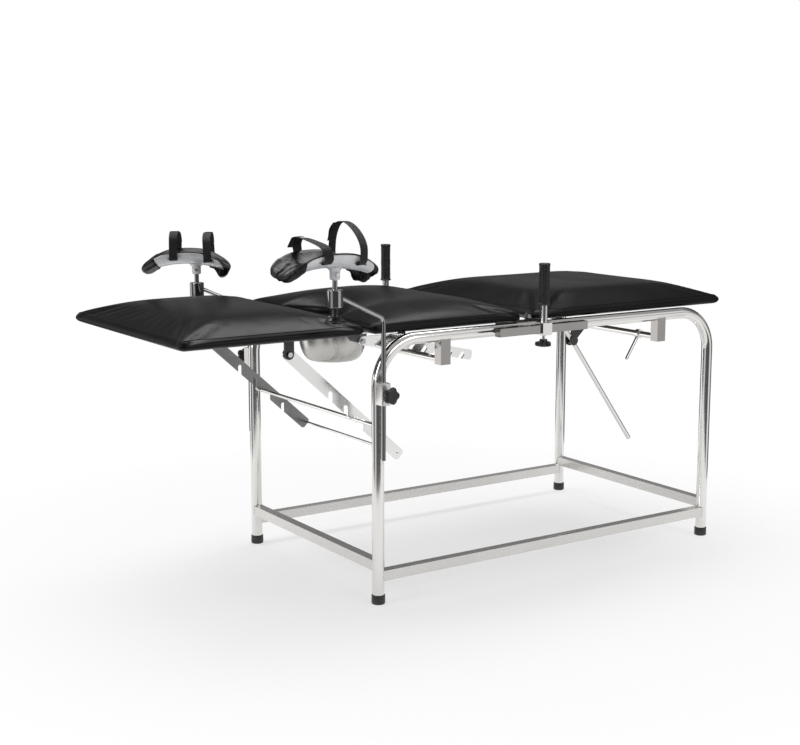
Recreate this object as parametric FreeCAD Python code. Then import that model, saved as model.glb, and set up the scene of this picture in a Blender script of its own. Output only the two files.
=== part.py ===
import FreeCAD, Part
import math
import os

# Medical examination table: tubular frame, hinged leg, seat and back sections,
# a pair of leg rests on adjustable poles and a pair of sliding hand grips.
# Millimetres. X runs along the table towards the head end, Y across it, Z up from the floor.
# The origin is on the floor, under the middle of the cushions' full length.

V = FreeCAD.Vector
X_DIR = V(1, 0, 0)
Y_DIR = V(0, 1, 0)
Z_DIR = V(0, 0, 1)

# ---- driving dimensions -------------------------------------------------------------------
half_length = 965.5          # cushions, end to end, halved
half_width = 366.0           # cushions, side to side, halved
frame_mid_x = 270.0          # the frame stands nearer the head end
leg_spread = 1282.0          # leg to leg along the table
rail_y = 368.0               # leg and rail centre lines, from the middle plane
tube_r = 17.5
tube_wall = 1.5
rail_z = 757.5               # centre line of the top rails
bend_r = 125.0
cap_r = 20.0
cap_height = 28.0
cap_floor = 4.0
lower_rail = 30.0            # square section
lower_rail_z = 68.0
stub_size = (34.0, 31.0)
stub_bottom = 674.0
cross_tube_r = 9.5
cross_tube_z = 687.0
cross_offset = 420.0         # cross tubes, from the frame's middle
catch_bar_r = 6.0
catch_bar_z = 517.0

board_bottom = 776.0
board_top = 788.0
board_inset = 14.0
skirt_bottom = 779.0
cushion_edge_top = 812.0
cushion_crown = 864.0
strap_thick = 5.0            # flat steel bars under the boards
strap_wide = 30.0
strap_y = 285.0
strap_z = (board_bottom - strap_thick, board_bottom)

leg_section_x = (-half_length, -413.0)
seat_x = (-382.0, 135.0)
back_x = (200.0, half_length)
cutout_width = 330.0
cutout_depth = 110.0

leg_hinge = (-398.0, 757.0)
seat_hinge = (146.0, 785.0)
back_hinge = (190.0, 785.0)
moving_plate_y = (325.0, 330.0)
fixed_plate_y = (330.4, 335.4)
leg_pin_r = 5.0
hinge_eye_r = 13.0
centre_eye_r = 9.0
centre_pin_r = 4.0
pin_play = 0.06

rack_pivot = (-603.5, 729.6)
rack_slope = 41.98           # degrees below level, towards the head end
rack_length = 496.0
rack_width = 35.0
rack_thick = 5.0
tip_chamfer = 6.0
rack_y = 275.0
notch_s = (180.0, 247.5, 315.0, 382.5)
notch_t = -2.5
notch_r = 6.5
held_notch = 315.0           # the catch bar lies in this one
release_foot = 34.0          # how far the held notch's sloping flank reaches at the lower edge
tie_rod_r = 4.0

seat_rack_pivot = (-250.0, 734.8)
seat_rack_slope = 12.5
seat_rack_length = 258.0
seat_rack_width = 30.0
seat_rack_y = 300.0
seat_rack_pitch = 45.5

bowl_x = -297.0
bowl_r = 104.0
bowl_floor_r = 62.0
bowl_top = 749.5
bowl_bottom = 653.0
bowl_wall = 1.5
bowl_flange = 6.0
bowl_rail_y = 110.0
bowl_rail_r = 4.0

strut_top = (340.0, 760.0)
strut_y = 300.0
strut_r = 7.0
strut_slope = 53.8
strut_length = 508.0
guide = (390.0, 691.7)       # where the strut passes its bracket

lever_slope = 33.0
lever_length = 92.0
lever_y = 280.0

grip_x = 172.0
grip_y = 427.5
grip_bar = 25.0
grip_bar_x = (2.0, 332.0)
grip_bar_z = 760.0
slider_wall = 6.0
slide_gap = 0.3
grip_post_r = 11.0
grip_r = 16.0
grip_z = (829.0, 953.0)

pole_y = 398.0
pole_r = 6.25
pole_bottom = 425.0
pole_bend = 826.0
clamp_z = (583.0, 645.0)
boss_x = -541.0
boss_y = 423.0
boss_z = (870.0, 917.0)
boss_r = 22.0
neck_r = 7.0
tilt_z = 958.0
rest_keel = 977.0            # underside of a leg rest's shell at its middle
rest_turn = {"near": 0.0, "far": -30.0}
pole_drop = {"near": 0.0, "far": -54.0}    # the far pole stands lower in its clamp
rest_offset = -30.0          # middle of a leg rest, from its neck
rest_width = 152.0
rest_rise = 38.0
rest_arch_r = 330.0
shell_half = 120.0
liner_half = 133.0
shell_thick = 3.0
liner_thick = 11.0
webbing_wide = 25.0
webbing_thick = 2.5
webbing_x = (-64.5, 40.5)    # from the neck
webbing_top = {"near": (1056.0, 1095.0), "far": (1083.0, 1073.0)}

leg_foot_x = frame_mid_x - leg_spread / 2.0
leg_head_x = frame_mid_x + leg_spread / 2.0
cross_foot_x = frame_mid_x - cross_offset
cross_head_x = frame_mid_x + cross_offset
os.makedirs("parts", exist_ok=True)


# ---- shape helpers ------------------------------------------------------------------------
def box(x, y, z):
    return Part.makeBox(x[1] - x[0], y[1] - y[0], z[1] - z[0], V(x[0], y[0], z[0]))


def rod(start, end, radius):
    return Part.makeCylinder(radius, (end - start).Length, start, end - start)


def y_rod(x, z, radius, y):
    """Cylinder along Y between the two y values."""
    return rod(V(x, min(y), z), V(x, max(y), z), radius)


def mirrored(shape):
    """The same shape on the other side of the table's middle plane."""
    return shape.mirror(V(0, 0, 0), Y_DIR)


def pair(shape):
    """A far-side shape with its near-side twin."""
    return Part.makeCompound([shape, mirrored(shape)])


def fuse(shapes):
    whole = shapes[0].multiFuse(shapes[1:])
    return whole.removeSplitter()


def plate(outline, y):
    """Flat plate across Y from an outline of (x, z) points."""
    points = [V(x, min(y), z) for x, z in outline]
    face = Part.Face(Part.makePolygon(points + points[:1]))
    return face.extrude(V(0, max(y) - min(y), 0))


def bent_path(points, radius):
    """Straight runs through the points, joined by tangent arcs."""
    edges = []
    start = points[0]
    for before, corner, after in zip(points, points[1:], points[2:]):
        back = (before - corner).normalize()
        ahead = (after - corner).normalize()
        half = back.getAngle(ahead) / 2.0
        reach = radius / math.tan(half)
        middle = (back + ahead).normalize()
        enter = corner + back * reach
        leave = corner + ahead * reach
        crest = corner + middle * (radius / math.sin(half) - radius)
        edges.append(Part.LineSegment(start, enter).toShape())
        edges.append(Part.Arc(enter, crest, leave).toShape())
        start = leave
    edges.append(Part.LineSegment(start, points[-1]).toShape())
    return Part.Wire(edges)


def bent_rod(points, bend_radius, radius):
    path = bent_path(points, bend_radius)
    ring = Part.Circle(points[0], points[1] - points[0], radius).toShape()
    return path.makePipeShell([Part.Wire(ring)], True, True)


def turned(profile, centre):
    """Solid of revolution about a vertical axis, from (radius, z) points."""
    points = [V(centre[0] + r, centre[1], z) for r, z in profile]
    face = Part.Face(Part.makePolygon(points + points[:1]))
    return face.revolve(V(centre[0], centre[1], 0), Z_DIR, 360)


def star_knob(height, radius):
    """Five-lobed knob standing on z = 0, its smaller hub on top."""
    lobe_r = 0.33 * radius
    lobe_at = radius - lobe_r
    body = [Part.makeCylinder(0.78 * radius, 0.66 * height)]
    for step in range(5):
        angle = math.radians(72.0 * step)
        centre = V(lobe_at * math.cos(angle), lobe_at * math.sin(angle), 0)
        body.append(Part.makeCylinder(lobe_r, 0.66 * height, centre))
    body.append(Part.makeCylinder(0.42 * radius, height))
    return fuse(body)


def placed(shape, position, axis=Z_DIR, angle=0.0):
    moved = shape.copy()
    moved.rotate(V(0, 0, 0), axis, angle)
    moved.translate(position)
    return moved


def save(name, shape):
    bad = [s for s in shape.Solids if not s.isValid()]
    if bad or not shape.Solids:
        raise RuntimeError(name + " is not a sound solid")
    shape.exportStep("parts/" + name + ".step")
    print(name, len(shape.Solids), round(shape.Volume / 1000.0, 1), "cm3")


# ---- frame --------------------------------------------------------------------------------
def hoop(radius):
    """Inverted U of the far side: two legs and a top rail, in one bent tube."""
    corners = [
        V(leg_foot_x, rail_y, cap_floor),
        V(leg_foot_x, rail_y, rail_z),
        V(leg_head_x, rail_y, rail_z),
        V(leg_head_x, rail_y, cap_floor),
    ]
    return bent_rod(corners, bend_r, radius)


def rail_cylinder():
    return rod(V(leg_foot_x, rail_y, rail_z), V(leg_head_x, rail_y, rail_z), tube_r)


def leg_cylinder(x, y):
    return Part.makeCylinder(tube_r, rail_z, V(x, y, 0))


def foot_cap(x, y):
    cup = Part.makeCylinder(cap_r, cap_height, V(x, y, 0))
    cup = cup.makeChamfer(1.5, [e for e in cup.Edges if abs(e.CenterOfMass.z) < 0.1])
    return cup.cut(Part.makeCylinder(tube_r, cap_height, V(x, y, cap_floor)))


def square_tube(x, y, z, along):
    """Hollow square tube filling a box, open at both ends of the along axis (0 is X, 1 is Y)."""
    bore = [(low + tube_wall, high - tube_wall) for low, high in (x, y, z)]
    bore[along] = (x, y)[along]
    return box(x, y, z).cut(box(*bore))


def lower_side_rail():
    half = lower_rail / 2.0
    z = (lower_rail_z, lower_rail_z + lower_rail)
    rail = square_tube((leg_foot_x, leg_head_x), (rail_y - half, rail_y + half), z, 0)
    for x in (leg_foot_x, leg_head_x):
        rail = rail.cut(leg_cylinder(x, rail_y))
    return max(rail.Solids, key=lambda s: s.Volume)


def lower_end_rail(x):
    half = lower_rail / 2.0
    bottom = lower_rail_z + lower_rail
    rail = square_tube((x - half, x + half), (-rail_y, rail_y), (bottom, bottom + lower_rail), 1)
    for y in (-rail_y, rail_y):
        rail = rail.cut(leg_cylinder(x, y))
    return max(rail.Solids, key=lambda s: s.Volume)


def hanger_stub(x):
    """Square block under the top rail that carries a cross tube."""
    dx = stub_size[0] / 2.0
    dy = stub_size[1] / 2.0
    block = box((x - dx, x + dx), (rail_y - dy, rail_y + dy), (stub_bottom, rail_z))
    return block.cut(rail_cylinder())


def cross_tube(x):
    end_y = rail_y - stub_size[1] / 2.0
    outer = y_rod(x, cross_tube_z, cross_tube_r, (-end_y, end_y))
    return outer.cut(y_rod(x, cross_tube_z, cross_tube_r - tube_wall, (-end_y, end_y)))


def catch_bar():
    bar = y_rod(leg_foot_x, catch_bar_z, catch_bar_r, (-rail_y, rail_y))
    for y in (-rail_y, rail_y):
        bar = bar.cut(leg_cylinder(leg_foot_x, y))
    return max(bar.Solids, key=lambda s: s.Volume)


def leg_hinge_plate():
    """Frame's half of the leg-section hinge, with its standoff to the bent tube."""
    x, z = leg_hinge
    outline = [(x, z - hinge_eye_r), (-285, 737), (-262, 737), (-262, 770), (x, z + hinge_eye_r)]
    blade = plate(outline, fixed_plate_y)
    eye = y_rod(x, z, hinge_eye_r, fixed_plate_y)
    standoff = box((-292, -262), (fixed_plate_y[1], rail_y), (739, 766)).cut(hoop(tube_r))
    standoff = min(standoff.Solids, key=lambda s: s.CenterOfMass.y)
    whole = fuse([blade, eye, standoff])
    return whole.cut(y_rod(x, z, leg_pin_r + pin_play, (300, 360)))


def centre_hinge_plate():
    """Lug plate between seat and back: one eye for each section."""
    low = 747.0
    pieces = []
    for x, z in (seat_hinge, back_hinge):
        pieces.append(box((x - centre_eye_r, x + centre_eye_r), fixed_plate_y, (low, z)))
        pieces.append(y_rod(x, z, centre_eye_r, fixed_plate_y))
    left = seat_hinge[0]
    right = back_hinge[0]
    pieces.append(box((left, right), fixed_plate_y, (low, 776)))
    standoff = box((left, right), (fixed_plate_y[1], rail_y), (low, 768)).cut(rail_cylinder())
    pieces.append(min(standoff.Solids, key=lambda s: s.CenterOfMass.y))
    whole = fuse(pieces)
    for x, z in (seat_hinge, back_hinge):
        whole = whole.cut(y_rod(x, z, centre_pin_r + pin_play, (300, 345)))
    return whole


def hinge_bolt(hinge, pin_r, head_r):
    """Bolt through a fixed and a moving plate, head outside and nut inside."""
    x, z = hinge
    outer = fixed_plate_y[1]
    inner = moving_plate_y[0]
    pieces = [
        y_rod(x, z, pin_r, (inner - 6.0, outer + 5.0)),
        y_rod(x, z, head_r, (outer, outer + 5.0)),
        y_rod(x, z, head_r, (inner - 6.0, inner - 0.3)),
    ]
    return fuse(pieces)


def strut_bracket():
    """Black bracket that guides the back strut between two jaws, on the near side."""
    x, z = guide
    jaw_y = (-strut_y + 7.5, -strut_y + 12.5)
    front_y = (-strut_y - 12.5, -strut_y - 7.5)
    slope = math.radians(strut_slope)
    pin_x = x - 11.5 * math.sin(slope)
    pin_z = z - 11.5 * math.cos(slope)
    outline = [(x - 14, z - 9), (x + 12, z - 13), (466, 740), (466, 757), (402, 757), (x + 4, z + 17)]
    arm = plate(outline, jaw_y)
    flange = box((402, 466), (-rail_y, jaw_y[1]), (752, 757)).cut(mirrored(rail_cylinder()))
    flange = max(flange.Solids, key=lambda s: s.Volume)
    pieces = [
        arm,
        flange,
        y_rod(x, z, 17, jaw_y),
        y_rod(x, z, 15, front_y),
        y_rod(pin_x, pin_z, 3, (front_y[0], jaw_y[1])),
    ]
    return fuse(pieces)


def grip_rail():
    """Square bar outside the top rail, on two standoffs."""
    half = grip_bar / 2.0
    bar = box(grip_bar_x, (grip_y - half, grip_y + half), (grip_bar_z - half, grip_bar_z + half))
    pieces = [bar.makeChamfer(1.0, [e for e in bar.Edges if e.Length > 100])]
    for x in (grip_bar_x[0] + 22, grip_bar_x[1] - 52):
        standoff = box((x, x + 30), (rail_y, grip_y - half), (grip_bar_z - 9, grip_bar_z + 8))
        standoff = standoff.cut(rail_cylinder())
        pieces.append(max(standoff.Solids, key=lambda s: s.CenterOfMass.y))
    return fuse(pieces)


def pole_clamp():
    """Block on the foot-end leg that takes the pole's bush and its locking screw."""
    block = box((leg_foot_x - 14, leg_foot_x + 14), (rail_y + 6, 413), clamp_z)
    block = block.makeFillet(3, [e for e in block.Edges if e.Length > 50])
    block = block.cut(hoop(tube_r))
    block = max(block.Solids, key=lambda s: s.Volume)
    block = block.cut(Part.makeCylinder(9.06, 80, V(leg_foot_x, pole_y, clamp_z[0] - 5)))
    mid = sum(clamp_z) / 2.0
    return block.cut(y_rod(leg_foot_x, mid, 4.1, (pole_y, 420)))


# ---- cushioned sections -------------------------------------------------------------------
def cutout(z):
    """Arc of the cut-out in the seat's foot-end edge, as a cylinder."""
    half = cutout_width / 2.0
    radius = (half * half + cutout_depth * cutout_depth) / (2.0 * cutout_depth)
    centre_x = seat_x[0] + cutout_depth - radius
    return Part.makeCylinder(radius, z[1] - z[0], V(centre_x, 0, z[0]))


def rounded_rectangle(x, half_y, z, radius):
    edges = []
    x0, x1 = x
    corners = [(x1, half_y, 0), (x0, half_y, 90), (x0, -half_y, 180), (x1, -half_y, 270)]
    arcs = []
    for cx, cy, turn in corners:
        inward = V(math.copysign(radius, (x0 + x1) / 2.0 - cx), math.copysign(radius, -cy), 0)
        centre = V(cx, cy, z) + inward
        points = []
        for degrees in (turn, turn + 45, turn + 90):
            angle = math.radians(degrees)
            points.append(centre + V(radius * math.cos(angle), radius * math.sin(angle), 0))
        arcs.append(points)
    for index, points in enumerate(arcs):
        edges.append(Part.Arc(*points).toShape())
        edges.append(Part.LineSegment(points[2], arcs[(index + 1) % 4][0]).toShape())
    return Part.Wire(edges)


def cushion(x):
    """Crowned pad with a skirt that reaches down round its board."""
    rise = cushion_crown - cushion_edge_top
    layers = [
        (4.0, skirt_bottom),
        (0.0, skirt_bottom + 12.0),
        (3.0, cushion_edge_top),
        (40.0, cushion_edge_top + 0.50 * rise),
        (95.0, cushion_edge_top + 0.83 * rise),
        (160.0, cushion_crown),
    ]
    wires = []
    for inset, z in layers:
        inner_x = (x[0] + inset, x[1] - inset)
        wires.append(rounded_rectangle(inner_x, half_width - inset, z, 22.0))
    pad = Part.makeLoft(wires, True, True)
    pocket_x = (x[0] + board_inset - 0.5, x[1] - board_inset + 0.5)
    pocket_y = half_width - board_inset + 0.5
    return pad.cut(box(pocket_x, (-pocket_y, pocket_y), (board_bottom, board_top)))


def board(x):
    inner_y = half_width - board_inset
    return box((x[0] + board_inset, x[1] - board_inset), (-inner_y, inner_y), (board_bottom, board_top))


def under_strap(x):
    half = strap_wide / 2.0
    return box(x, (strap_y - half, strap_y + half), strap_z)


def cross_bars(starts):
    return [box((x, x + strap_wide), (-strap_y, strap_y), strap_z) for x in starts]


def leg_under_frame():
    """Flat bars under the leg section, each side with its hinge plate and a cross bar."""
    x, z = leg_hinge
    outline = [
        (x, z - 8),
        (-437, 760),
        (-446, 771),
        (-446, board_bottom),
        (x - 16, board_bottom),
        (x, z + hinge_eye_r),
    ]
    blade = plate(outline, moving_plate_y)
    blade = fuse([blade, y_rod(x, z, hinge_eye_r, moving_plate_y)])
    blade = blade.cut(y_rod(x, z, leg_pin_r + pin_play, (300, 360)))
    link = box((-500, -430), (strap_y, moving_plate_y[0]), strap_z)
    side = [blade, link, under_strap((-900, -430))]
    return fuse(side + [mirrored(s) for s in side] + cross_bars((-900, -500)))


def centre_lug(hinge, toward):
    """Moving hinge lug that runs under a section's board; toward is -1 for the seat, 1 for the back."""
    x, z = hinge
    reach = x + toward * 75.0
    step = x - toward * centre_eye_r
    base = box((min(step, reach), max(step, reach)), moving_plate_y, (757, 775.8))
    upright = box((x - centre_eye_r, x + centre_eye_r), moving_plate_y, (757, z))
    whole = fuse([base, upright, y_rod(x, z, centre_eye_r, moving_plate_y)])
    whole = whole.cut(y_rod(x, z, centre_pin_r + pin_play, (300, 345)))
    start = x + toward * 30.0
    link = box((min(start, reach), max(start, reach)), (strap_y, moving_plate_y[0]), (771, 775.8))
    return fuse([whole, link])


def seat_under_frame():
    side = [centre_lug(seat_hinge, -1), under_strap((-262, 116))]
    return fuse(side + [mirrored(s) for s in side] + cross_bars((-190, 60)))


def back_under_frame():
    side = [centre_lug(back_hinge, 1), under_strap((220, 905))]
    x, z = strut_top
    ear_y = (-strut_y + 5.5, -strut_y + 10.5)
    ear = plate([(x - 17, board_bottom), (x - 9, z - 9), (x + 9, z - 9), (x + 17, board_bottom)], ear_y)
    pin = y_rod(x, z, centre_pin_r, (-strut_y - 7.0, ear_y[1]))
    head = y_rod(x, z, 6.5, (-strut_y - 10.0, -strut_y - 5.5))
    side += [mirrored(s) for s in side]
    return fuse(side + cross_bars((220, 560, 875)) + [ear, pin, head])


def rack_bracket(pivot, y, size):
    """Black ear outside a rack, with the pivot stud the rack turns on. y is the rack's middle."""
    x, z = pivot
    half = rack_thick / 2.0
    ear_y = (y + half + 0.5, y + half + 5.5)
    inner_end = y - half - 5.0
    outer_end = ear_y[1] + 4.0
    head_r = leg_pin_r + 3.5
    pieces = [
        box((x - size, x + size), ear_y, (z, strap_z[0])),
        y_rod(x, z, size, ear_y),
        y_rod(x, z, leg_pin_r, (inner_end, outer_end)),
        y_rod(x, z, head_r, (inner_end, y - half - 0.5)),
        y_rod(x, z, head_r, (ear_y[1], outer_end)),
    ]
    return fuse(pieces)


# ---- racks --------------------------------------------------------------------------------
def notch(s, t, radius, slope, reach):
    """Round-rooted slot cut straight down from a point of the rack, open at its lower edge."""
    angle = math.radians(slope)
    down = V(math.sin(angle), 0, -math.cos(angle))
    across = V(math.cos(angle), 0, math.sin(angle)) * radius
    root = V(s, -10, t)
    corners = [root + across, root - across]
    corners += [c + down * reach for c in reversed(corners)]
    slot = Part.Face(Part.makePolygon(corners + corners[:1])).extrude(V(0, 20, 0))
    return slot.fuse(Part.makeCylinder(radius, 20, root, Y_DIR))


def rack_blank(length, width, pivot_r):
    half = width / 2.0
    thick = rack_thick / 2.0
    outline = [
        (0, -half),
        (length - tip_chamfer, -half),
        (length, tip_chamfer - half),
        (length, half - tip_chamfer),
        (length - tip_chamfer, half),
        (0, half),
    ]
    bar = fuse([plate(outline, (-thick, thick)), y_rod(0, 0, half, (-thick, thick))])
    return bar.cut(y_rod(0, 0, pivot_r, (-10, 10)))


def set_rack(bar, pivot, slope, y):
    return placed(bar, V(pivot[0], y, pivot[1]), Y_DIR, slope)


def leg_rack(y):
    """Notched prop bar of the leg section."""
    bar = rack_blank(rack_length, rack_width, leg_pin_r + pin_play)
    for s in notch_s:
        bar = bar.cut(notch(s, notch_t, notch_r, rack_slope, 40))
    # the held notch opens towards the pivot, so that the bar leaves it as the section goes down
    low = -rack_width / 2.0 - 1.0
    flank = [
        (held_notch - 4.2, notch_t + 5.0),
        (held_notch - release_foot, low),
        (held_notch + 6.0, low),
        (held_notch + 6.0, notch_t),
    ]
    bar = bar.cut(plate(flank, (-10, 10)))
    bar = bar.cut(y_rod(rack_length - 14, 2, tie_rod_r, (-10, 10)))
    return set_rack(bar, rack_pivot, rack_slope, y)


def rack_point(pivot, slope, s, t):
    angle = math.radians(slope)
    x = pivot[0] + s * math.cos(angle) + t * math.sin(angle)
    z = pivot[1] - s * math.sin(angle) + t * math.cos(angle)
    return x, z


def tie_rod():
    x, z = rack_point(rack_pivot, rack_slope, rack_length - 14, 2)
    end = rack_y + rack_thick / 2.0 + 3.0
    return y_rod(x, z, tie_rod_r, (-end, end))


def seat_rack(y):
    """Notched bar that rides over the foot-end cross tube."""
    bar = rack_blank(seat_rack_length, seat_rack_width, leg_pin_r + pin_play)
    for step in range(5):
        s = 42.0 + seat_rack_pitch * step
        bar = bar.cut(notch(s, -1.0, 7.0, -28.0, 40))
    return set_rack(bar, seat_rack_pivot, seat_rack_slope, y)


# ---- bowl ---------------------------------------------------------------------------------
def bowl():
    """Round bowl with a flat floor, bellied wall and turned-out flange."""
    steps = 8
    outer = []
    for step in range(steps + 1):
        angle = math.pi / 2.0 * step / steps
        r = bowl_floor_r + (bowl_r - bowl_floor_r) * math.sin(angle)
        z = bowl_bottom + (bowl_top - bowl_wall - bowl_bottom) * (1.0 - math.cos(angle)) ** 0.85
        outer.append((r, z))
    inner = [(r - bowl_wall, z + bowl_wall) for r, z in reversed(outer)]
    rim = bowl_r + bowl_flange
    profile = [(0, bowl_bottom)] + outer + [(rim, bowl_top - bowl_wall), (rim, bowl_top)]
    profile += inner + [(0, bowl_bottom + bowl_wall)]
    return turned(profile, (bowl_x, 0))


def bowl_cradle():
    """Two round rails under the bowl's flange, hung from the seat board by posts."""
    top = bowl_top - bowl_wall
    z = top - bowl_rail_r
    side = [rod(V(-398, bowl_rail_y, z), V(-176, bowl_rail_y, z), bowl_rail_r)]
    for x in (-286, -202):
        side.append(rod(V(x, bowl_rail_y + 9, z), V(x, bowl_rail_y + 9, board_bottom), 3.5))
        side.append(rod(V(x, bowl_rail_y, z), V(x, bowl_rail_y + 9, z), 3.5))
    return fuse(side)


# ---- moving parts of the frame ------------------------------------------------------------
def strut_rod():
    """Round strut with an eye, from the back section down past its bracket."""
    x, z = strut_top
    slope = math.radians(strut_slope)
    along = V(math.cos(slope), 0, -math.sin(slope))
    top = V(x, -strut_y, z)
    end = top + along * strut_length
    eye_y = (-strut_y - 5.0, -strut_y + 5.0)
    shaft = rod(top + along * 22.0, end, strut_r)
    shaft = shaft.makeFillet(3.0, [e for e in shaft.Edges if e.BoundBox.ZMax < 500])
    # flattened between the round shaft and the eye
    tang = rod(top + along * 6.0, top + along * 24.0, strut_r)
    tang = tang.common(box((x - 20, x + 40), eye_y, (0, z + 20)))
    whole = fuse([y_rod(x, z, 8.5, eye_y), tang, shaft])
    return whole.cut(y_rod(x, z, centre_pin_r + pin_play, (-strut_y - 10, -strut_y + 10)))


def release_lever():
    """Lever on a collar that turns on the head-end cross tube."""
    centre = V(cross_head_x, -lever_y, cross_tube_z)
    slope = math.radians(lever_slope)
    along = V(-math.sin(slope), 0, -math.cos(slope))
    collar = y_rod(centre.x, centre.z, cross_tube_r + 4.5, (-lever_y - 8, -lever_y + 8))
    arm = rod(centre + along * 11.0, centre + along * lever_length, 5.0)
    knob_end = Part.makeSphere(5.0, centre + along * lever_length)
    whole = fuse([collar, arm, knob_end])
    return whole.cut(y_rod(centre.x, centre.z, cross_tube_r + pin_play, (-lever_y - 20, -lever_y + 20)))


def grip_post():
    """Sleeve that slides on the grip rail, with the post that carries the rubber grip."""
    inner = grip_bar / 2.0 + slide_gap
    outer = inner + slider_wall
    x = (grip_x - 17, grip_x + 17)
    sleeve = box(x, (grip_y - outer, grip_y + outer), (grip_bar_z - outer, grip_bar_z + outer))
    sleeve = sleeve.makeFillet(2.0, [e for e in sleeve.Edges if abs(e.Length - 34) < 0.1])
    window_y = (grip_y - inner, grip_y + inner)
    window_z = (grip_bar_z - inner, grip_bar_z + inner)
    sleeve = sleeve.cut(box((x[0] - 1, x[1] + 1), window_y, window_z))
    sleeve = sleeve.cut(Part.makeCylinder(4.08, 20, V(grip_x, grip_y, grip_bar_z - outer - 5)))
    foot = grip_bar_z + outer - 1
    post = Part.makeCylinder(grip_post_r, grip_z[1] - 8 - foot, V(grip_x, grip_y, foot))
    return fuse([sleeve, post])


def rubber_grip():
    """Ribbed rubber sleeve, closed at the top, with a collar at its foot."""
    bottom, top = grip_z
    profile = [(grip_post_r, bottom), (grip_r + 1.5, bottom), (grip_r + 1.5, bottom + 5)]
    ribs = 6
    pitch = (top - bottom - 10) / ribs
    for rib in range(ribs):
        z = bottom + 5 + rib * pitch
        profile += [(grip_r - 1.2, z + 0.5), (grip_r - 1.2, z + 2.0)]
        profile += [(grip_r, z + 3.0), (grip_r, z + pitch - 0.5)]
    profile += [(grip_r + 0.8, top - 4), (grip_r - 1, top), (0, top)]
    profile += [(0, top - 8), (grip_post_r, top - 8)]
    return turned(profile, (grip_x, grip_y))


def grip_knob():
    """Star knob under the sleeve; its screw reaches up to the rail."""
    under = grip_bar_z - grip_bar / 2.0
    knob = placed(star_knob(21, 25), V(grip_x, grip_y, 707))
    screw = Part.makeCylinder(4.0, under - 0.4 - 720, V(grip_x, grip_y, 720))
    return fuse([knob, screw])


# ---- leg rests ----------------------------------------------------------------------------
def clamp_bush():
    bush = Part.makeCylinder(9.0, clamp_z[1] - clamp_z[0] + 2, V(leg_foot_x, pole_y, clamp_z[0] - 1))
    return bush.cut(Part.makeCylinder(pole_r + 0.08, 100, V(leg_foot_x, pole_y, clamp_z[0] - 10)))


def clamp_knob():
    """Star knob facing outwards, with the screw that presses the bush."""
    mid = sum(clamp_z) / 2.0
    knob = placed(star_knob(21, 25), V(leg_foot_x, 445, mid), X_DIR, 90)
    screw = y_rod(leg_foot_x, mid, 4.0, (pole_y + 9.4, 430))
    return fuse([knob, screw])


def pole():
    """Bent pole with the socket that carries a leg rest welded to its end."""
    socket = Part.makeCylinder(boss_r, boss_z[1] - boss_z[0], V(boss_x, boss_y, boss_z[0]))
    socket = socket.makeFillet(2.0, [e for e in socket.Edges if e.Length > 100 and e.BoundBox.ZLength < 1])
    foot = V(leg_foot_x, pole_y, pole_bottom)
    points = [foot, V(leg_foot_x, pole_y, pole_bend), V(boss_x + 6, boss_y, 901)]
    whole = fuse([socket, bent_rod(points, 22, pole_r)])
    whole = whole.cut(Part.makeCylinder(neck_r + 0.06, 60, V(boss_x, boss_y, 887)))
    return whole.cut(Part.makeCylinder(5.08, 30, V(boss_x, boss_y, boss_z[0] - 5)))


def socket_knob():
    """Flared knob under the socket that locks the neck."""
    profile = [(0, 826), (27, 826), (29, 829), (29, 833), (25, 838)]
    profile += [(12, 843), (10.5, 848), (10.5, 869.7), (0, 869.7)]
    body = turned(profile, (boss_x, boss_y))
    return fuse([body, Part.makeCylinder(5.0, 20, V(boss_x, boss_y, 866))])


def neck():
    """Stem that turns in the socket; its flattened top carries the tilt pin."""
    stem = Part.makeCylinder(neck_r, 942 - 888, V(boss_x, boss_y, 888))
    tongue = box((boss_x - neck_r, boss_x + neck_r), (boss_y - 5, boss_y + 5), (935, tilt_z))
    tongue = tongue.common(Part.makeCylinder(neck_r, 60, V(boss_x, boss_y, 920)))
    eye = y_rod(boss_x, tilt_z, 6.8, (boss_y - 5, boss_y + 5))
    whole = fuse([stem, tongue, eye])
    return whole.cut(y_rod(boss_x, tilt_z, 3.06, (boss_y - 20, boss_y + 20)))


def arched(thick, lift, half_arc):
    """Saddle: a trough section carried over an arch. lift raises it above the keel."""
    half = rest_width / 2.0
    trough_r = (half * half + rest_rise * rest_rise) / (2.0 * rest_rise)
    centre_z = rest_keel + trough_r
    outer_r = trough_r - lift
    inner_r = outer_r - thick
    spread = math.asin(half / trough_r)

    def at(radius, angle):
        return V(boss_x, boss_y + radius * math.sin(angle), centre_z - radius * math.cos(angle))

    edges = [
        Part.Arc(at(outer_r, -spread), at(outer_r, 0), at(outer_r, spread)).toShape(),
        Part.LineSegment(at(outer_r, spread), at(inner_r, spread)).toShape(),
        Part.Arc(at(inner_r, spread), at(inner_r, 0), at(inner_r, -spread)).toShape(),
        Part.LineSegment(at(inner_r, -spread), at(outer_r, -spread)).toShape(),
    ]
    section = Part.Face(Part.Wire(edges))
    section.translate(V(rest_offset, 0, 0))
    axis_point = V(boss_x + rest_offset, boss_y, rest_keel - rest_arch_r)
    swing = math.degrees(math.asin(half_arc / rest_arch_r))
    section.rotate(axis_point, Y_DIR, -swing)
    return section.revolve(axis_point, Y_DIR, 2.0 * swing)


def rest_shell():
    """Painted saddle with the hub that hangs from the tilt pin."""
    shell = arched(shell_thick, 0.0, shell_half)
    hub = Part.makeCylinder(14.5, rest_keel + 1.5 - 946, V(boss_x, boss_y, 946))
    hub = hub.cut(arched(liner_thick, shell_thick, shell_half))
    hub = hub.cut(box((boss_x - 20, boss_x + 20), (boss_y - 5.2, boss_y + 5.2), (940, 967)))
    pin = y_rod(boss_x, tilt_z, 3.0, (boss_y - 13, boss_y + 13))
    return fuse([shell, hub, pin])


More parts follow.
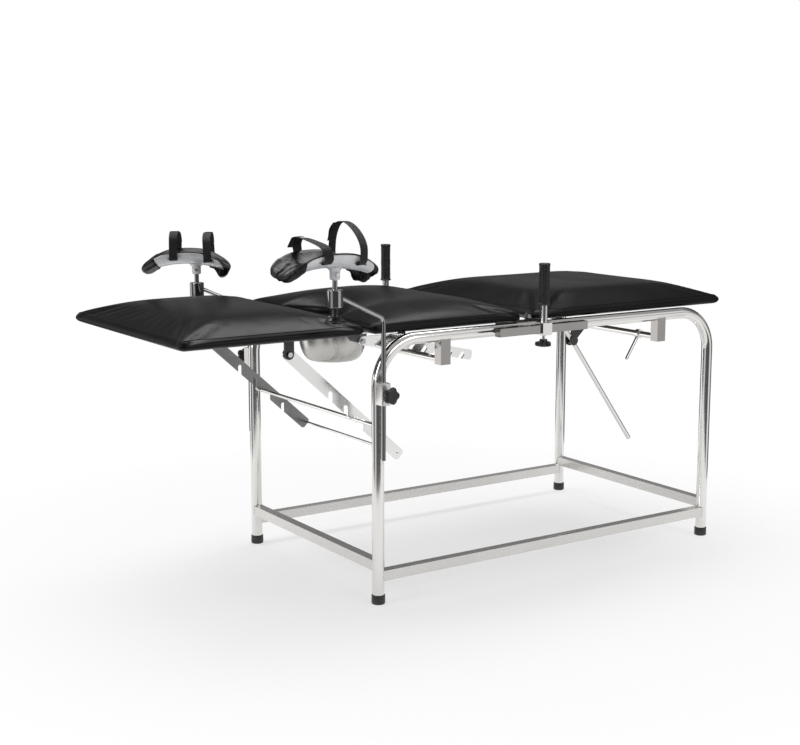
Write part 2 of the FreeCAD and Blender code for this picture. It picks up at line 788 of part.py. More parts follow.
def rest_liner():
    return arched(liner_thick, shell_thick + 0.2, liner_half)


def webbing(offset, top):
    """One loop of flat webbing over the rest, from rim to rim."""
    base = 1003.0
    half = rest_width / 2.0
    wide = half + 7.0
    high = top - base
    steps = 16
    ring = []
    for reach, rise in ((wide, high), (wide - webbing_thick, high - webbing_thick)):
        points = []
        for step in range(steps + 1):
            angle = math.pi * step / steps
            points.append(V(0, reach * math.cos(angle), base + rise * math.sin(angle)))
        ring.append(points)
    outline = ring[0] + ring[1][::-1]
    face = Part.Face(Part.makePolygon(outline + outline[:1]))
    loop = face.extrude(V(webbing_wide, 0, 0))
    loop.translate(V(boss_x + offset - webbing_wide / 2.0, boss_y, 0))
    return loop


def rest_straps(side):
    return Part.makeCompound([webbing(x, top) for x, top in zip(webbing_x, webbing_top[side])])


def turned_rest(shape, side):
    """Swings a piece of a leg rest about its neck to where it stands at rest."""
    moved = shape.copy()
    moved.rotate(V(boss_x, boss_y, 0), Z_DIR, rest_turn[side])
    moved.translate(V(0, 0, pole_drop[side]))
    return moved


# ---- every node ---------------------------------------------------------------------------
def frame_nodes():
    hollow = hoop(tube_r).cut(hoop(tube_r - tube_wall))
    save("hoop_far", hollow)
    save("hoop_near", mirrored(hollow))
    caps = [foot_cap(x, rail_y) for x in (leg_foot_x, leg_head_x)]
    save("rubber_foot_caps", Part.makeCompound(caps + [mirrored(c) for c in caps]))
    save("lower_rail_far", lower_side_rail())
    save("lower_rail_near", mirrored(lower_side_rail()))
    save("lower_end_rails", Part.makeCompound([lower_end_rail(x) for x in (leg_foot_x, leg_head_x)]))
    stubs = [hanger_stub(x) for x in (cross_foot_x, cross_head_x)]
    save("hanger_stubs", Part.makeCompound(stubs + [mirrored(s) for s in stubs]))
    save("cross_tube_foot_end", cross_tube(cross_foot_x))
    save("cross_tube_head_end", cross_tube(cross_head_x))
    save("catch_bar", catch_bar())
    save("leg_hinge_plates", pair(leg_hinge_plate()))
    save("centre_hinge_plates", pair(centre_hinge_plate()))
    bolts = [
        hinge_bolt(leg_hinge, leg_pin_r, 8.5),
        hinge_bolt(seat_hinge, centre_pin_r, 6.5),
        hinge_bolt(back_hinge, centre_pin_r, 6.5),
    ]
    save("hinge_bolts", Part.makeCompound(bolts + [mirrored(b) for b in bolts]))
    save("strut_bracket", strut_bracket())
    save("release_lever", release_lever())
    save("strut_rod", strut_rod())


def section_nodes():
    save("leg_board", board(leg_section_x))
    save("leg_cushion", cushion(leg_section_x))
    save("leg_under_frame", leg_under_frame())
    save("leg_rack_brackets", pair(rack_bracket(rack_pivot, rack_y, 15)))
    save("leg_rack_far", leg_rack(rack_y))
    save("leg_rack_near", leg_rack(-rack_y))
    save("rack_tie_rod", tie_rod())
    save("seat_board", board(seat_x).cut(cutout((700, 900))))
    save("seat_cushion", cushion(seat_x).cut(cutout((700, 900))))
    save("seat_under_frame", seat_under_frame())
    save("seat_rack_brackets", pair(rack_bracket(seat_rack_pivot, seat_rack_y, 12)))
    save("seat_rack_far", seat_rack(seat_rack_y))
    save("seat_rack_near", seat_rack(-seat_rack_y))
    save("bowl", bowl())
    save("bowl_cradle", pair(bowl_cradle()))
    save("back_board", board(back_x))
    save("back_cushion", cushion(back_x))
    save("back_under_frame", back_under_frame())


def paired_nodes():
    makers = {
        "grip_rail": grip_rail,
        "grip_post": grip_post,
        "rubber_grip": rubber_grip,
        "grip_knob": grip_knob,
        "pole_clamp": pole_clamp,
        "clamp_bush": clamp_bush,
        "clamp_knob": clamp_knob,
    }
    for name, make in makers.items():
        shape = make()
        save(name + "_far", shape)
        save(name + "_near", mirrored(shape))
    for name, make in {"pole": pole, "socket_knob": socket_knob}.items():
        shape = make()
        save(name + "_far", placed(shape, V(0, 0, pole_drop["far"])))
        save(name + "_near", mirrored(placed(shape, V(0, 0, pole_drop["near"]))))
    for side in ("far", "near"):
        parts = {
            "neck_": neck(),
            "rest_shell_": rest_shell(),
            "rest_liner_": rest_liner(),
            "rest_straps_": rest_straps(side),
        }
        for name, shape in parts.items():
            shape = turned_rest(shape, side)
            if side == "near":
                shape = mirrored(shape)
            save(name + side, shape)


frame_nodes()
section_nodes()
paired_nodes()
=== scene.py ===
import bpy
import math
import numpy as np
from mathutils import Matrix, Vector, noise
from mathutils.bvhtree import BVHTree


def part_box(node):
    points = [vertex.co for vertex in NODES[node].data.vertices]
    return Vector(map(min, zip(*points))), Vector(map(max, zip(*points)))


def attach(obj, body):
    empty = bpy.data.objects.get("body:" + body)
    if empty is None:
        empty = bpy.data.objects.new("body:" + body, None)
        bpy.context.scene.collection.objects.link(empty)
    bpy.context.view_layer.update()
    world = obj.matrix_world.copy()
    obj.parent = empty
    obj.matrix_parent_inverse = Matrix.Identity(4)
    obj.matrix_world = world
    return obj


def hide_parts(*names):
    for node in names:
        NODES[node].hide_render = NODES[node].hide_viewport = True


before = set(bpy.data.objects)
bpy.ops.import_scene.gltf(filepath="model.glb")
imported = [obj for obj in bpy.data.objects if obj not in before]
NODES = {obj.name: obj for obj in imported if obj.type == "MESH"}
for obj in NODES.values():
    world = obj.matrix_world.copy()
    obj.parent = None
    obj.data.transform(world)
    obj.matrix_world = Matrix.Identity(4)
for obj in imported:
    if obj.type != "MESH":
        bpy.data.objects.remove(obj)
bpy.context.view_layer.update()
SCENE = bpy.context.scene
TAU = 2.0 * math.pi
WELD_GAP = 1e-6     # vertices nearer than this are one
LATHE_TIP = 1e-5    # radius that stands for a point on a lathe's axis


# ---- mesh helpers -------------------------------------------------------------------------
def piece(name, verts, faces, look, body, smooth=38.0):
    """A new mesh object that rides on a body; look is its material."""
    mesh = bpy.data.meshes.new(name)
    mesh.from_pydata([tuple(v) for v in verts], [], faces)
    mesh.validate()
    mesh.update()
    obj = bpy.data.objects.new(name, mesh)
    SCENE.collection.objects.link(obj)
    finish_mesh(obj, smooth)
    mesh.materials.append(look)
    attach(obj, body)
    return obj


def finish_mesh(obj, smooth):
    """Points the faces outwards and smooths all but the sharp edges."""
    bpy.context.view_layer.objects.active = obj
    for other in bpy.context.selected_objects:
        other.select_set(False)
    obj.select_set(True)
    bpy.ops.object.mode_set(mode="EDIT")
    bpy.ops.mesh.select_all(action="SELECT")
    bpy.ops.mesh.remove_doubles(threshold=WELD_GAP)
    bpy.ops.mesh.normals_make_consistent(inside=False)
    bpy.ops.object.mode_set(mode="OBJECT")
    bpy.ops.object.shade_smooth_by_angle(angle=math.radians(smooth))


class Builder:
    """Collects vertices and faces of several closed shapes into one mesh."""

    def __init__(self):
        self.verts = []
        self.faces = []

    def add(self, verts, faces):
        base = len(self.verts)
        self.verts += [Vector(v) for v in verts]
        self.faces += [tuple(base + i for i in f) for f in faces]

    def rings(self, rings, caps=True):
        """Skin over rings that all have the same number of points."""
        count = len(rings[0])
        verts = [p for ring in rings for p in ring]
        faces = []
        for k in range(len(rings) - 1):
            low, high = k * count, (k + 1) * count
            for i in range(count):
                j = (i + 1) % count
                faces.append((low + i, low + j, high + j, high + i))
        if caps:
            faces.append(tuple(reversed(range(count))))
            last = (len(rings) - 1) * count
            faces.append(tuple(range(last, last + count)))
        self.add(verts, faces)

    def lathe(self, profile, centre, axis=(0, 0, 1), segments=48, shape=None):
        """Turns (radius, height) points about an axis; shape(angle, height) scales the radius."""
        turn = Vector((0, 0, 1)).rotation_difference(Vector(axis)).to_matrix()
        rings = []
        for radius, height in profile:
            ring = []
            for i in range(segments):
                angle = TAU * i / segments
                r = max(radius, LATHE_TIP)
                if shape:
                    r *= shape(angle, height)
                point = Vector((r * math.cos(angle), r * math.sin(angle), height))
                ring.append(Vector(centre) + turn @ point)
            rings.append(ring)
        self.rings(rings)

    def loop_tube(self, path, radius, segments=8):
        """Round tube along a closed path; radius(i) is its radius at the path's point i."""
        count = len(path)
        rings = []
        side = None
        for i, point in enumerate(path):
            along = (path[(i + 1) % count] - path[i - 1]).normalized()
            if side is None:
                side = along.orthogonal().normalized()
            side = (side - along * side.dot(along)).normalized()
            other = along.cross(side)
            ring = []
            for k in range(segments):
                angle = TAU * k / segments
                ring.append(point + (side * math.cos(angle) + other * math.sin(angle)) * radius(i))
            rings.append(ring)
        rings.append(rings[0])
        self.rings(rings, caps=False)

    def prism(self, sides, radius, centre, axis, height, bevel):
        """Bevelled prism, such as a bolt's hexagonal head, standing on centre along axis."""
        profile = [(radius, 0), (radius, height - bevel), (radius - bevel, height)]
        self.lathe(profile, centre, axis, sides)


def smooth_path(points, steps):
    """Catmull-Rom curve through the points."""
    points = [Vector(p) for p in points]
    out = []
    for i in range(len(points) - 1):
        p0 = points[max(i - 1, 0)]
        p1 = points[i]
        p2 = points[i + 1]
        p3 = points[min(i + 2, len(points) - 1)]
        for k in range(steps):
            t = k / steps
            out.append(0.5 * ((2 * p1) + (p2 - p0) * t + (2 * p0 - 5 * p1 + 4 * p2 - p3) * t * t
                              + (3 * p1 - p0 - 3 * p2 + p3) * t * t * t))
    out.append(points[-1])
    return out


def smoothstep(low, high, value):
    t = min(max((value - low) / (high - low), 0.0), 1.0)
    return t * t * (3.0 - 2.0 * t)


# ---- materials ----------------------------------------------------------------------------
def material(name):
    mat = bpy.data.materials.new(name)
    mat.use_nodes = True
    tree = mat.node_tree
    tree.nodes.clear()
    out = tree.nodes.new("ShaderNodeOutputMaterial")
    shader = tree.nodes.new("ShaderNodeBsdfPrincipled")
    tree.links.new(shader.outputs[0], out.inputs[0])
    coord = tree.nodes.new("ShaderNodeTexCoord")
    return mat, tree, shader, coord


def maths(tree, operation, *values):
    """Math node; each value is a number or another node's output."""
    node = tree.nodes.new("ShaderNodeMath")
    node.operation = operation
    for socket, value in zip(node.inputs, values):
        if isinstance(value, float):
            socket.default_value = value
        else:
            tree.links.new(value, socket)
    return node.outputs[0]


def texture(tree, vector, scale, detail=3.0, rough=0.55, stretch=None, kind="noise"):
    if stretch:
        mapping = tree.nodes.new("ShaderNodeMapping")
        mapping.inputs["Scale"].default_value = stretch
        tree.links.new(vector, mapping.inputs["Vector"])
        vector = mapping.outputs[0]
    if kind == "noise":
        node = tree.nodes.new("ShaderNodeTexNoise")
        node.inputs["Detail"].default_value = detail
        node.inputs["Roughness"].default_value = rough
        out = node.outputs["Fac"]
    else:
        node = tree.nodes.new("ShaderNodeTexVoronoi")
        node.feature = kind
        out = node.outputs["Distance"]
    node.inputs["Scale"].default_value = scale
    tree.links.new(vector, node.inputs["Vector"])
    return out


def ramp(tree, factor, stops):
    """Colour ramp through (position, colour) stops."""
    node = tree.nodes.new("ShaderNodeValToRGB")
    elements = node.color_ramp.elements
    for element, (position, colour) in zip(elements, (stops[0], stops[-1])):
        element.position = position
        element.color = (*colour, 1)
    for position, colour in stops[1:-1]:
        elements.new(position).color = (*colour, 1)
    tree.links.new(factor, node.inputs[0])
    return node.outputs[0]


def spread(tree, factor, low, high, source=(0.3, 0.7)):
    """Maps a factor onto a range of values."""
    node = tree.nodes.new("ShaderNodeMapRange")
    node.inputs["From Min"].default_value = source[0]
    node.inputs["From Max"].default_value = source[1]
    node.inputs["To Min"].default_value = low
    node.inputs["To Max"].default_value = high
    tree.links.new(factor, node.inputs["Value"])
    return node.outputs[0]


def bump(tree, shader, height, distance, strength=1.0, before=None):
    node = tree.nodes.new("ShaderNodeBump")
    node.inputs["Distance"].default_value = distance
    node.inputs["Strength"].default_value = strength
    tree.links.new(height, node.inputs["Height"])
    if before:
        tree.links.new(before, node.inputs["Normal"])
    tree.links.new(node.outputs[0], shader.inputs["Normal"])
    return node.outputs[0]


def grey(value, tint=(1.0, 1.0, 1.0)):
    return tuple(value * t for t in tint)


def leather(name, dark, light, rough, grain, depth, gloss):
    """Pebbled vinyl: fine cells, a few soft creases and slow changes of gloss."""
    mat, tree, shader, coord = material(name)
    at = coord.outputs["Object"]
    slow = texture(tree, at, 7.0, 4.0)
    cells = texture(tree, at, grain, kind="SMOOTH_F1")
    pores = texture(tree, at, grain * 0.45, 6.0, 0.6)
    shader.inputs["Specular IOR Level"].default_value = gloss
    tree.links.new(ramp(tree, slow, [(0.3, dark), (0.7, light)]), shader.inputs["Base Color"])
    tree.links.new(spread(tree, slow, rough - 0.035, rough + 0.045), shader.inputs["Roughness"])
    first = bump(tree, shader, cells, depth, 0.55)
    second = bump(tree, shader, pores, depth * 0.8, 0.35, first)
    bump(tree, shader, texture(tree, at, 28.0, 2.0), 0.0006, 0.35, second)
    return mat


def metal(name, colour, rough, stretch, scratch, tint=0.05, metallic=1.0):
    """Polished or brushed metal with drawn marks, handling smears and uneven gloss."""
    mat, tree, shader, coord = material(name)
    at = coord.outputs["Object"]
    shader.inputs["Metallic"].default_value = metallic
    smear = texture(tree, at, 9.0, 5.0, 0.6)
    lines = texture(tree, at, 60.0, 4.0, 0.7, stretch)
    low = tuple(c * (1.0 - tint) for c in colour)
    tree.links.new(ramp(tree, smear, [(0.3, low), (0.7, colour)]), shader.inputs["Base Color"])
    mixed = maths(tree, "MULTIPLY_ADD", lines, 0.5, maths(tree, "MULTIPLY", smear, 0.5))
    gloss = spread(tree, mixed, rough * 0.8, rough * 1.25, (0.35, 0.65))
    tree.links.new(gloss, shader.inputs["Roughness"])
    bump(tree, shader, lines, scratch, 0.4)
    return mat


def enamel(name, colour, dark, rough, peel, coat=0.3):
    """Paint with a faint orange-peel skin and dull patches."""
    mat, tree, shader, coord = material(name)
    at = coord.outputs["Object"]
    slow = texture(tree, at, 14.0, 5.0, 0.65)
    tree.links.new(ramp(tree, slow, [(0.25, dark), (0.6, colour)]), shader.inputs["Base Color"])
    tree.links.new(spread(tree, slow, rough * 0.85, rough * 1.2), shader.inputs["Roughness"])
    shader.inputs["Coat Weight"].default_value = coat
    shader.inputs["Coat Roughness"].default_value = 0.15
    bump(tree, shader, texture(tree, at, 420.0, 2.0), peel, 0.5)
    return mat


def moulded(name, colour, rough, texture_depth, scale=1400.0):
    """Moulded plastic or rubber with a fine matt texture and worn, lighter patches."""
    mat, tree, shader, coord = material(name)
    at = coord.outputs["Object"]
    wear = texture(tree, at, 38.0, 6.0, 0.7)
    worn = tuple(min(1.0, c * 2.2 + 0.004) for c in colour)
    tree.links.new(ramp(tree, wear, [(0.45, colour), (0.8, worn)]), shader.inputs["Base Color"])
    tree.links.new(spread(tree, wear, rough * 0.85, rough * 1.25), shader.inputs["Roughness"])
    bump(tree, shader, texture(tree, at, scale, 2.0), texture_depth, 0.5)
    return mat


def woven(name):
    """Webbing: ribs along the strap crossed by picks over it, from the strap's own coordinates."""
    mat, tree, shader, coord = material(name)
    split = tree.nodes.new("ShaderNodeSeparateXYZ")
    tree.links.new(coord.outputs["UV"], split.inputs[0])
    weft_pitch, warp_pitch = 0.0022, 0.0030
    weft = maths(tree, "SINE", maths(tree, "MULTIPLY", split.outputs[0], TAU / weft_pitch))
    warp = maths(tree, "SINE", maths(tree, "MULTIPLY", split.outputs[1], TAU / warp_pitch))
    crossing = maths(tree, "MULTIPLY", weft, warp)
    fuzz = texture(tree, coord.outputs["Object"], 900.0, 3.0)
    colours = [(0.0, grey(0.004)), (1.0, grey(0.018))]
    tree.links.new(ramp(tree, crossing, colours), shader.inputs["Base Color"])
    tree.links.new(spread(tree, fuzz, 0.55, 0.85), shader.inputs["Roughness"])
    shader.inputs["Sheen Weight"].default_value = 0.08
    shader.inputs["Sheen Roughness"].default_value = 0.4
    first = bump(tree, shader, crossing, 0.0004, 0.9)
    bump(tree, shader, fuzz, 0.0002, 0.4, first)
    return mat


def plywood(name):
    """Dark plywood with its grain drawn out along the table."""
    mat, tree, shader, coord = material(name)
    at = coord.outputs["Object"]
    grain = texture(tree, at, 22.0, 8.0, 0.65, (1.0, 14.0, 30.0))
    colours = [(0.3, (0.010, 0.008, 0.006)), (0.55, (0.022, 0.017, 0.013)), (0.75, (0.038, 0.030, 0.022))]
    tree.links.new(ramp(tree, grain, colours), shader.inputs["Base Color"])
    tree.links.new(spread(tree, grain, 0.5, 0.75), shader.inputs["Roughness"])
    bump(tree, shader, grain, 0.0004, 0.5)
    return mat


VINYL = leather("vinyl", grey(0.0016), grey(0.003, (1.0, 1.0, 1.04)), 0.33, 820.0, 0.00020, 0.16)
REST_LEATHER = leather("rest_leather", grey(0.003), grey(0.007), 0.30, 620.0, 0.0003, 0.26)
STAINLESS = metal("stainless_tube", (0.80, 0.785, 0.765), 0.12, (1.0, 1.0, 1.0), 0.00001, 0.03)
BRUSHED_X = metal("brushed_bar", (0.74, 0.725, 0.705), 0.24, (0.4, 5.0, 5.0), 0.000002, 0.04, 0.72)
SPUN = metal("spun_bowl", (0.52, 0.51, 0.49), 0.24, (3.0, 3.0, 40.0), 0.00005)
CHROME = metal("chrome_plate", (0.39, 0.39, 0.40), 0.05, (1.0, 1.0, 1.0), 0.00001, 0.02)
ZINC = metal("zinc_bolt", (0.70, 0.71, 0.73), 0.30, (3.0, 3.0, 3.0), 0.00005, 0.12)
RACK_STEEL = metal("rack_steel", (0.88, 0.88, 0.87), 0.20, (1.0, 16.0, 16.0), 0.00005)
# painted shade: the square bars' steel is darkened to stand in for the dark reflections on their faces
SQUARE_BAR_PAINTED_SHADE = metal("square_bar_painted_shade", (0.36, 0.345, 0.335), 0.16, (0.4, 5.0, 5.0), 0.000006, 0.10)
# painted shade: a darker copy of the rack steel for the far rack, which stands in shade
RACK_PAINTED_SHADE = metal("shaded_rack_steel", (0.27, 0.27, 0.27), 0.26, (1.0, 16.0, 16.0), 0.00005, 0.45)
DARK_STEEL = enamel("dark_enamel", grey(0.11), grey(0.07), 0.42, 0.0001)
BLACK_PAINT = enamel("black_enamel", grey(0.018), grey(0.010), 0.36, 0.0001)
REST_PAINT = enamel("silver_enamel", (0.80, 0.81, 0.83), (0.70, 0.71, 0.74), 0.27, 0.00006, 0.6)
PHENOLIC = moulded("phenolic", grey(0.009), 0.30, 0.00006)
RUBBER = moulded("rubber", grey(0.017), 0.33, 0.00012, 900.0)
NYLON = moulded("nylon", (0.62, 0.61, 0.57), 0.45, 0.00008)
WEBBING = woven("webbing")
PLY = plywood("plywood")


def both(*names):
    """The far and the near node of each name."""
    return [name + side for name in names for side in ("_far", "_near")]


CAD_LOOK = {
    STAINLESS: ["cross_tube_foot_end", "cross_tube_head_end", "catch_bar", "release_lever", "strut_rod",
                "rack_tie_rod", "bowl_cradle", *both("hoop", "grip_post")],
    BRUSHED_X: ["lower_end_rails", *both("lower_rail", "pole_clamp")],
    SQUARE_BAR_PAINTED_SHADE: ["hanger_stubs", *both("grip_rail")],
    RACK_STEEL: ["leg_rack_near", "leg_hinge_plates", *both("seat_rack")],
    RACK_PAINTED_SHADE: ["leg_rack_far"],
    CHROME: both("pole", "neck"),
    DARK_STEEL: ["leg_under_frame", "seat_under_frame", "back_under_frame"],
    BLACK_PAINT: ["centre_hinge_plates", "strut_bracket", "leg_rack_brackets", "seat_rack_brackets"],
    PLY: ["leg_board", "seat_board", "back_board"],
    NYLON: both("clamp_bush"),
    SPUN: ["bowl"],
    VINYL: ["leg_cushion", "seat_cushion", "back_cushion"],
    REST_LEATHER: both("rest_liner"),
    REST_PAINT: both("rest_shell"),
    WEBBING: both("rest_straps"),
    RUBBER: ["rubber_foot_caps", *both("rubber_grip")],
    PHENOLIC: both("grip_knob", "clamp_knob", "socket_knob"),
    ZINC: ["hinge_bolts"],
}
for look, names in CAD_LOOK.items():
    for node_name in names:
        mesh = NODES[node_name].data
        mesh.materials.clear()
        mesh.materials.append(look)


# ---- the three cushions -------------------------------------------------------------------
LEG_ENDS = (-0.9655, -0.413)
SEAT_ENDS = (-0.382, 0.135)
BACK_ENDS = (0.200, 0.9655)
SEAT_NOTCH = (0.165, 0.110)     # half width and depth of the cut-out over the bowl
HALF_WIDE = 0.366
SKIRT = 0.7755                  # underside of the cover
EDGE_TOP = 0.806                # height where the top panel meets the side band
CROWN = 0.047                   # rise of the top panel over its edge
CROWN_REACH = 0.260             # distance from the edge over which it rises
OUTLINE_POINTS = 420
CORNER_PASSES = 8               # each pass rounds the outline's corners a little more
# rings of the top panel, as shares of the way from its middle to its edge
CROWN_SHARES = (0.0, 0.1, 0.2, 0.3, 0.4, 0.5, 0.58, 0.66, 0.73, 0.79, 0.84, 0.88, 0.915, 0.945, 0.97, 0.988)
# rings of the side band and the cover under the board, as (distance inside the outline, height)
SIDE_BAND = ((0.0030, EDGE_TOP - 0.0014), (-0.0024, EDGE_TOP - 0.0060), (-0.0058, EDGE_TOP - 0.0120),
             (-0.0056, EDGE_TOP - 0.0180), (-0.0016, SKIRT + 0.0066), (0.0050, SKIRT + 0.0020),
             (0.014, SKIRT), (0.044, SKIRT), (0.050, SKIRT + 0.004), (0.070, SKIRT + 0.0105))
UNDER_BOARD = 0.02              # rings further inside than this lie under the board
WAIST = 0.0035                  # how far the sides pull in between the corners
WELT_HEIGHT = EDGE_TOP - 0.0025
WELT_R = 0.0011
WELT_SINK = 0.0003
# cloth: voxel size, pressure, longest move, height below which it is held, and what the crown leaves for it
VOXEL = 0.0062
PRESSURE = 2.6
MOVE_CAP = 0.009
HELD_BELOW = EDGE_TOP - 0.018
HELD_FADE = 0.012
CLOTH_FRAMES = 20
SWELL = 0.012


def gain(distance):
    """Share of the crown's rise at a distance inside the edge."""
    q = min(max(distance / CROWN_REACH, 0.0), 1.0)
    return 1.0 - (1.0 - q) ** 3.0


def notch_edge(x0, y, notch):
    """Foot-end edge of a section at y; the seat's has an arc cut into it."""
    if not notch:
        return x0
    half, depth = notch
    radius = (half * half + depth * depth) / (2.0 * depth)
    if abs(y) >= half:
        return x0
    return x0 + depth - radius + math.sqrt(radius * radius - y * y)


def outline(x0, x1, notch):
    """Rounded outline of a section as evenly spaced points."""
    raw = [(x1, -HALF_WIDE), (x1, HALF_WIDE), (x0, HALF_WIDE)]
    if notch:
        steps = 40
        raw += [(notch_edge(x0, y, notch), y)
                for y in (notch[0] * (1.0 - 2.0 * k / steps) for k in range(steps + 1))]
    raw += [(x0, -HALF_WIDE)]
    raw = np.array(raw + raw[:1])
    lengths = np.r_[0, np.cumsum(np.linalg.norm(np.diff(raw, axis=0), axis=1))]
    at = np.linspace(0, lengths[-1], OUTLINE_POINTS, endpoint=False)
    points = np.c_[np.interp(at, lengths, raw[:, 0]), np.interp(at, lengths, raw[:, 1])]
    for _ in range(CORNER_PASSES):
        points = 0.5 * points + 0.25 * (np.roll(points, 1, axis=0) + np.roll(points, -1, axis=0))
    return points


def crown_height(x, y, x0, x1, notch, crown):
    across = gain(HALF_WIDE - abs(y))
    head = gain(x1 - x)
    foot = gain(x - notch_edge(x0, y, notch))
    return EDGE_TOP + crown * across * head * foot


def cushion_form(x0, x1, notch, crown):
    """Rings of the whole pad: crown, side, and the cover turned under the board."""
    edge = outline(x0, x1, notch)
    centre = np.array([(x0 + x1) / 2.0 + (0.03 if notch else 0.0), 0.0])
    tangent = np.roll(edge, -1, axis=0) - np.roll(edge, 1, axis=0)
    inward = np.c_[-tangent[:, 1], tangent[:, 0]]
    inward /= np.linalg.norm(inward, axis=1)[:, None]
    flip = np.sign(np.sum((centre - edge) * inward, axis=1))
    inward *= np.where(np.mean(flip) >= 0, 1.0, -1.0)
    waist = WAIST * np.sin(np.pi * np.clip((edge[:, 0] - x0) / (x1 - x0), 0, 1))
    rings = []
    for share in CROWN_SHARES:
        flat = centre + (edge - centre) * max(share, 0.004)
        rings.append([Vector((x, y, crown_height(x, y, x0, x1, notch, crown))) for x, y in flat])
    for inset, height in SIDE_BAND:
        flat = edge + inward * (inset + waist * (1.0 if inset < UNDER_BOARD else 0.0))[:, None]
        rings.append([Vector((x, y, height)) for x, y in flat])
    return rings, edge, inward


def inflate(obj):
    """Remeshes the form and blows it up as cloth with its underside held and its move capped."""
    remesh = obj.modifiers.new("remesh", "REMESH")
    remesh.mode = "VOXEL"
    remesh.voxel_size = VOXEL
    bpy.context.view_layer.objects.active = obj
    bpy.ops.object.modifier_apply(modifier="remesh")
    start = np.array([v.co[:] for v in obj.data.vertices])
    group = obj.vertex_groups.new(name="held")
    for v in obj.data.vertices:
        weight = 1.0 - smoothstep(HELD_BELOW, HELD_BELOW + HELD_FADE, v.co.z)
        group.add([v.index], weight, "REPLACE")
    cloth = obj.modifiers.new("cloth", "CLOTH")
    settings = cloth.settings
    settings.quality = 5
    settings.mass = 0.25
    settings.tension_stiffness = 22.0
    settings.compression_stiffness = 22.0
    settings.shear_stiffness = 12.0
    settings.bending_stiffness = 3.0
    settings.vertex_group_mass = "held"
    settings.use_pressure = True
    settings.uniform_pressure_force = PRESSURE
    settings.effector_weights.gravity = 0.0
    cloth.collision_settings.use_collision = False
    cloth.point_cache.frame_start = 1
    cloth.point_cache.frame_end = CLOTH_FRAMES
    for step in range(1, CLOTH_FRAMES + 1):
        SCENE.frame_set(step)
    settled = obj.evaluated_get(bpy.context.evaluated_depsgraph_get())
    end = np.array([v.co[:] for v in settled.data.vertices])
    obj.modifiers.remove(cloth)
    SCENE.frame_set(1)
    move = end - start
    length = np.linalg.norm(move, axis=1)
    capped = MOVE_CAP * np.tanh(length / MOVE_CAP)
    scale = np.where(length > 1e-9, capped / np.maximum(length, 1e-9), 0.0)
    final = start + move * scale[:, None]
    obj.data.vertices.foreach_set("co", final.ravel())
    obj.data.update()
    subdivide = obj.modifiers.new("subdivide", "SUBSURF")
    subdivide.levels = 1
    subdivide.render_levels = 1
    bpy.ops.object.modifier_apply(modifier="subdivide")
    obj.vertex_groups.clear()


def welt(name, body, pad, edge, inward):
    """Thin piping where the top panel meets the side band, found by rays from outside."""
    tree = BVHTree.FromObject(pad, bpy.context.evaluated_depsgraph_get())
    reach = 0.03
    path = []
    for (x, y), (nx, ny) in zip(edge, inward):
        start = Vector((x - nx * reach, y - ny * reach, WELT_HEIGHT))
        hit = tree.ray_cast(start, Vector((nx, ny, 0)), 2.0 * reach)[0]
        if hit is None:
            hit = Vector((x, y, WELT_HEIGHT))
        path.append(hit + Vector((nx, ny, 0)) * WELT_SINK)
    seam = Builder()
    seam.loop_tube(path, lambda i: WELT_R)
    obj = piece(name, seam.verts, seam.faces, VINYL, body)


def cushion(name, body, node, ends, notch=None):
    x0, x1 = ends
    rings, edge, inward = cushion_form(x0, x1, notch, CROWN - SWELL)
    build = Builder()
    build.rings(rings)
    obj = piece(name, build.verts, build.faces, VINYL, body, smooth=60)
    inflate(obj)
    finish_mesh(obj, 75)
    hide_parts(node)
    welt(name + "_seam", body, obj, edge, inward)


cushion("leg_pad", "leg_section", "leg_cushion", LEG_ENDS)
cushion("seat_pad", "seat_section", "seat_cushion", SEAT_ENDS, SEAT_NOTCH)
cushion("back_pad", "back_section", "back_cushion", BACK_ENDS)


# ---- leg rests ----------------------------------------------------------------------------
REST_X = -0.541                     # neck's axis
REST_Y = 0.423
KEEL = 0.977                        # underside of the saddle at its middle
RIM_HALF = 0.076
RISE = 0.038                        # rim above keel
TROUGH_R = (RIM_HALF ** 2 + RISE ** 2) / (2.0 * RISE)
SPREAD = math.asin(RIM_HALF / TROUGH_R)
ARCH_R = 0.330                      # the saddle's arch along its length
SHELL_HALF = 0.118
SHELL_THICK = 0.0028
LINER_HALF = 0.135
REST_OFFSET = -0.030                # middle of the saddle from the neck
REST_TURN = {1: -30.0, -1: 0.0}     # 1 is the far side, -1 the near side
REST_DROP = {1: -0.054, -1: 0.0}
TILT_Z = 0.958                      # height of the tilt pin
STRAP_X = (-0.0645, 0.0405)         # middles of the two straps from the neck
STRAP_WIDE = 0.025
STRAP_THICK = 0.0018


def saddle(u, v, lift=0.0):
    """Point and inward normal of a leg rest; u is metres along it, v runs from rim to rim over -1 to 1."""
    wing = smoothstep(0.035, 0.115, u)
    flare = 1.0 + 0.10 * smoothstep(0.05, 0.12, abs(u)) + 0.22 * wing
    radius = TROUGH_R * flare
    angle = v * SPREAD * (1.0 + 0.10 * wing) / flare ** 1.5
    normal = Vector((0.0, -math.sin(angle), math.cos(angle)))
    point = Vector((0.0, radius * math.sin(angle), KEEL + radius - radius * math.cos(angle)))
    point += normal * lift
    pivot = Vector((0, 0, KEEL - ARCH_R))
    turn = Matrix.Rotation(u / ARCH_R, 3, "Y")
    return pivot + turn @ (point - pivot) + Vector((REST_OFFSET, 0, 0)), turn @ normal


def place_rest(points, side):
    """From axes with their origin on the floor under the neck to where the rest stands."""
    turn = Matrix.Rotation(math.radians(REST_TURN[side]), 3, "Z")
    centre = Vector((REST_X, side * REST_Y, REST_DROP[side]))
    return [centre + turn @ Vector(p) for p in points]


def end_round(v, power=3.2):
    return 0.60 + 0.40 * (1.0 - abs(v) ** power) ** (1.0 / power)


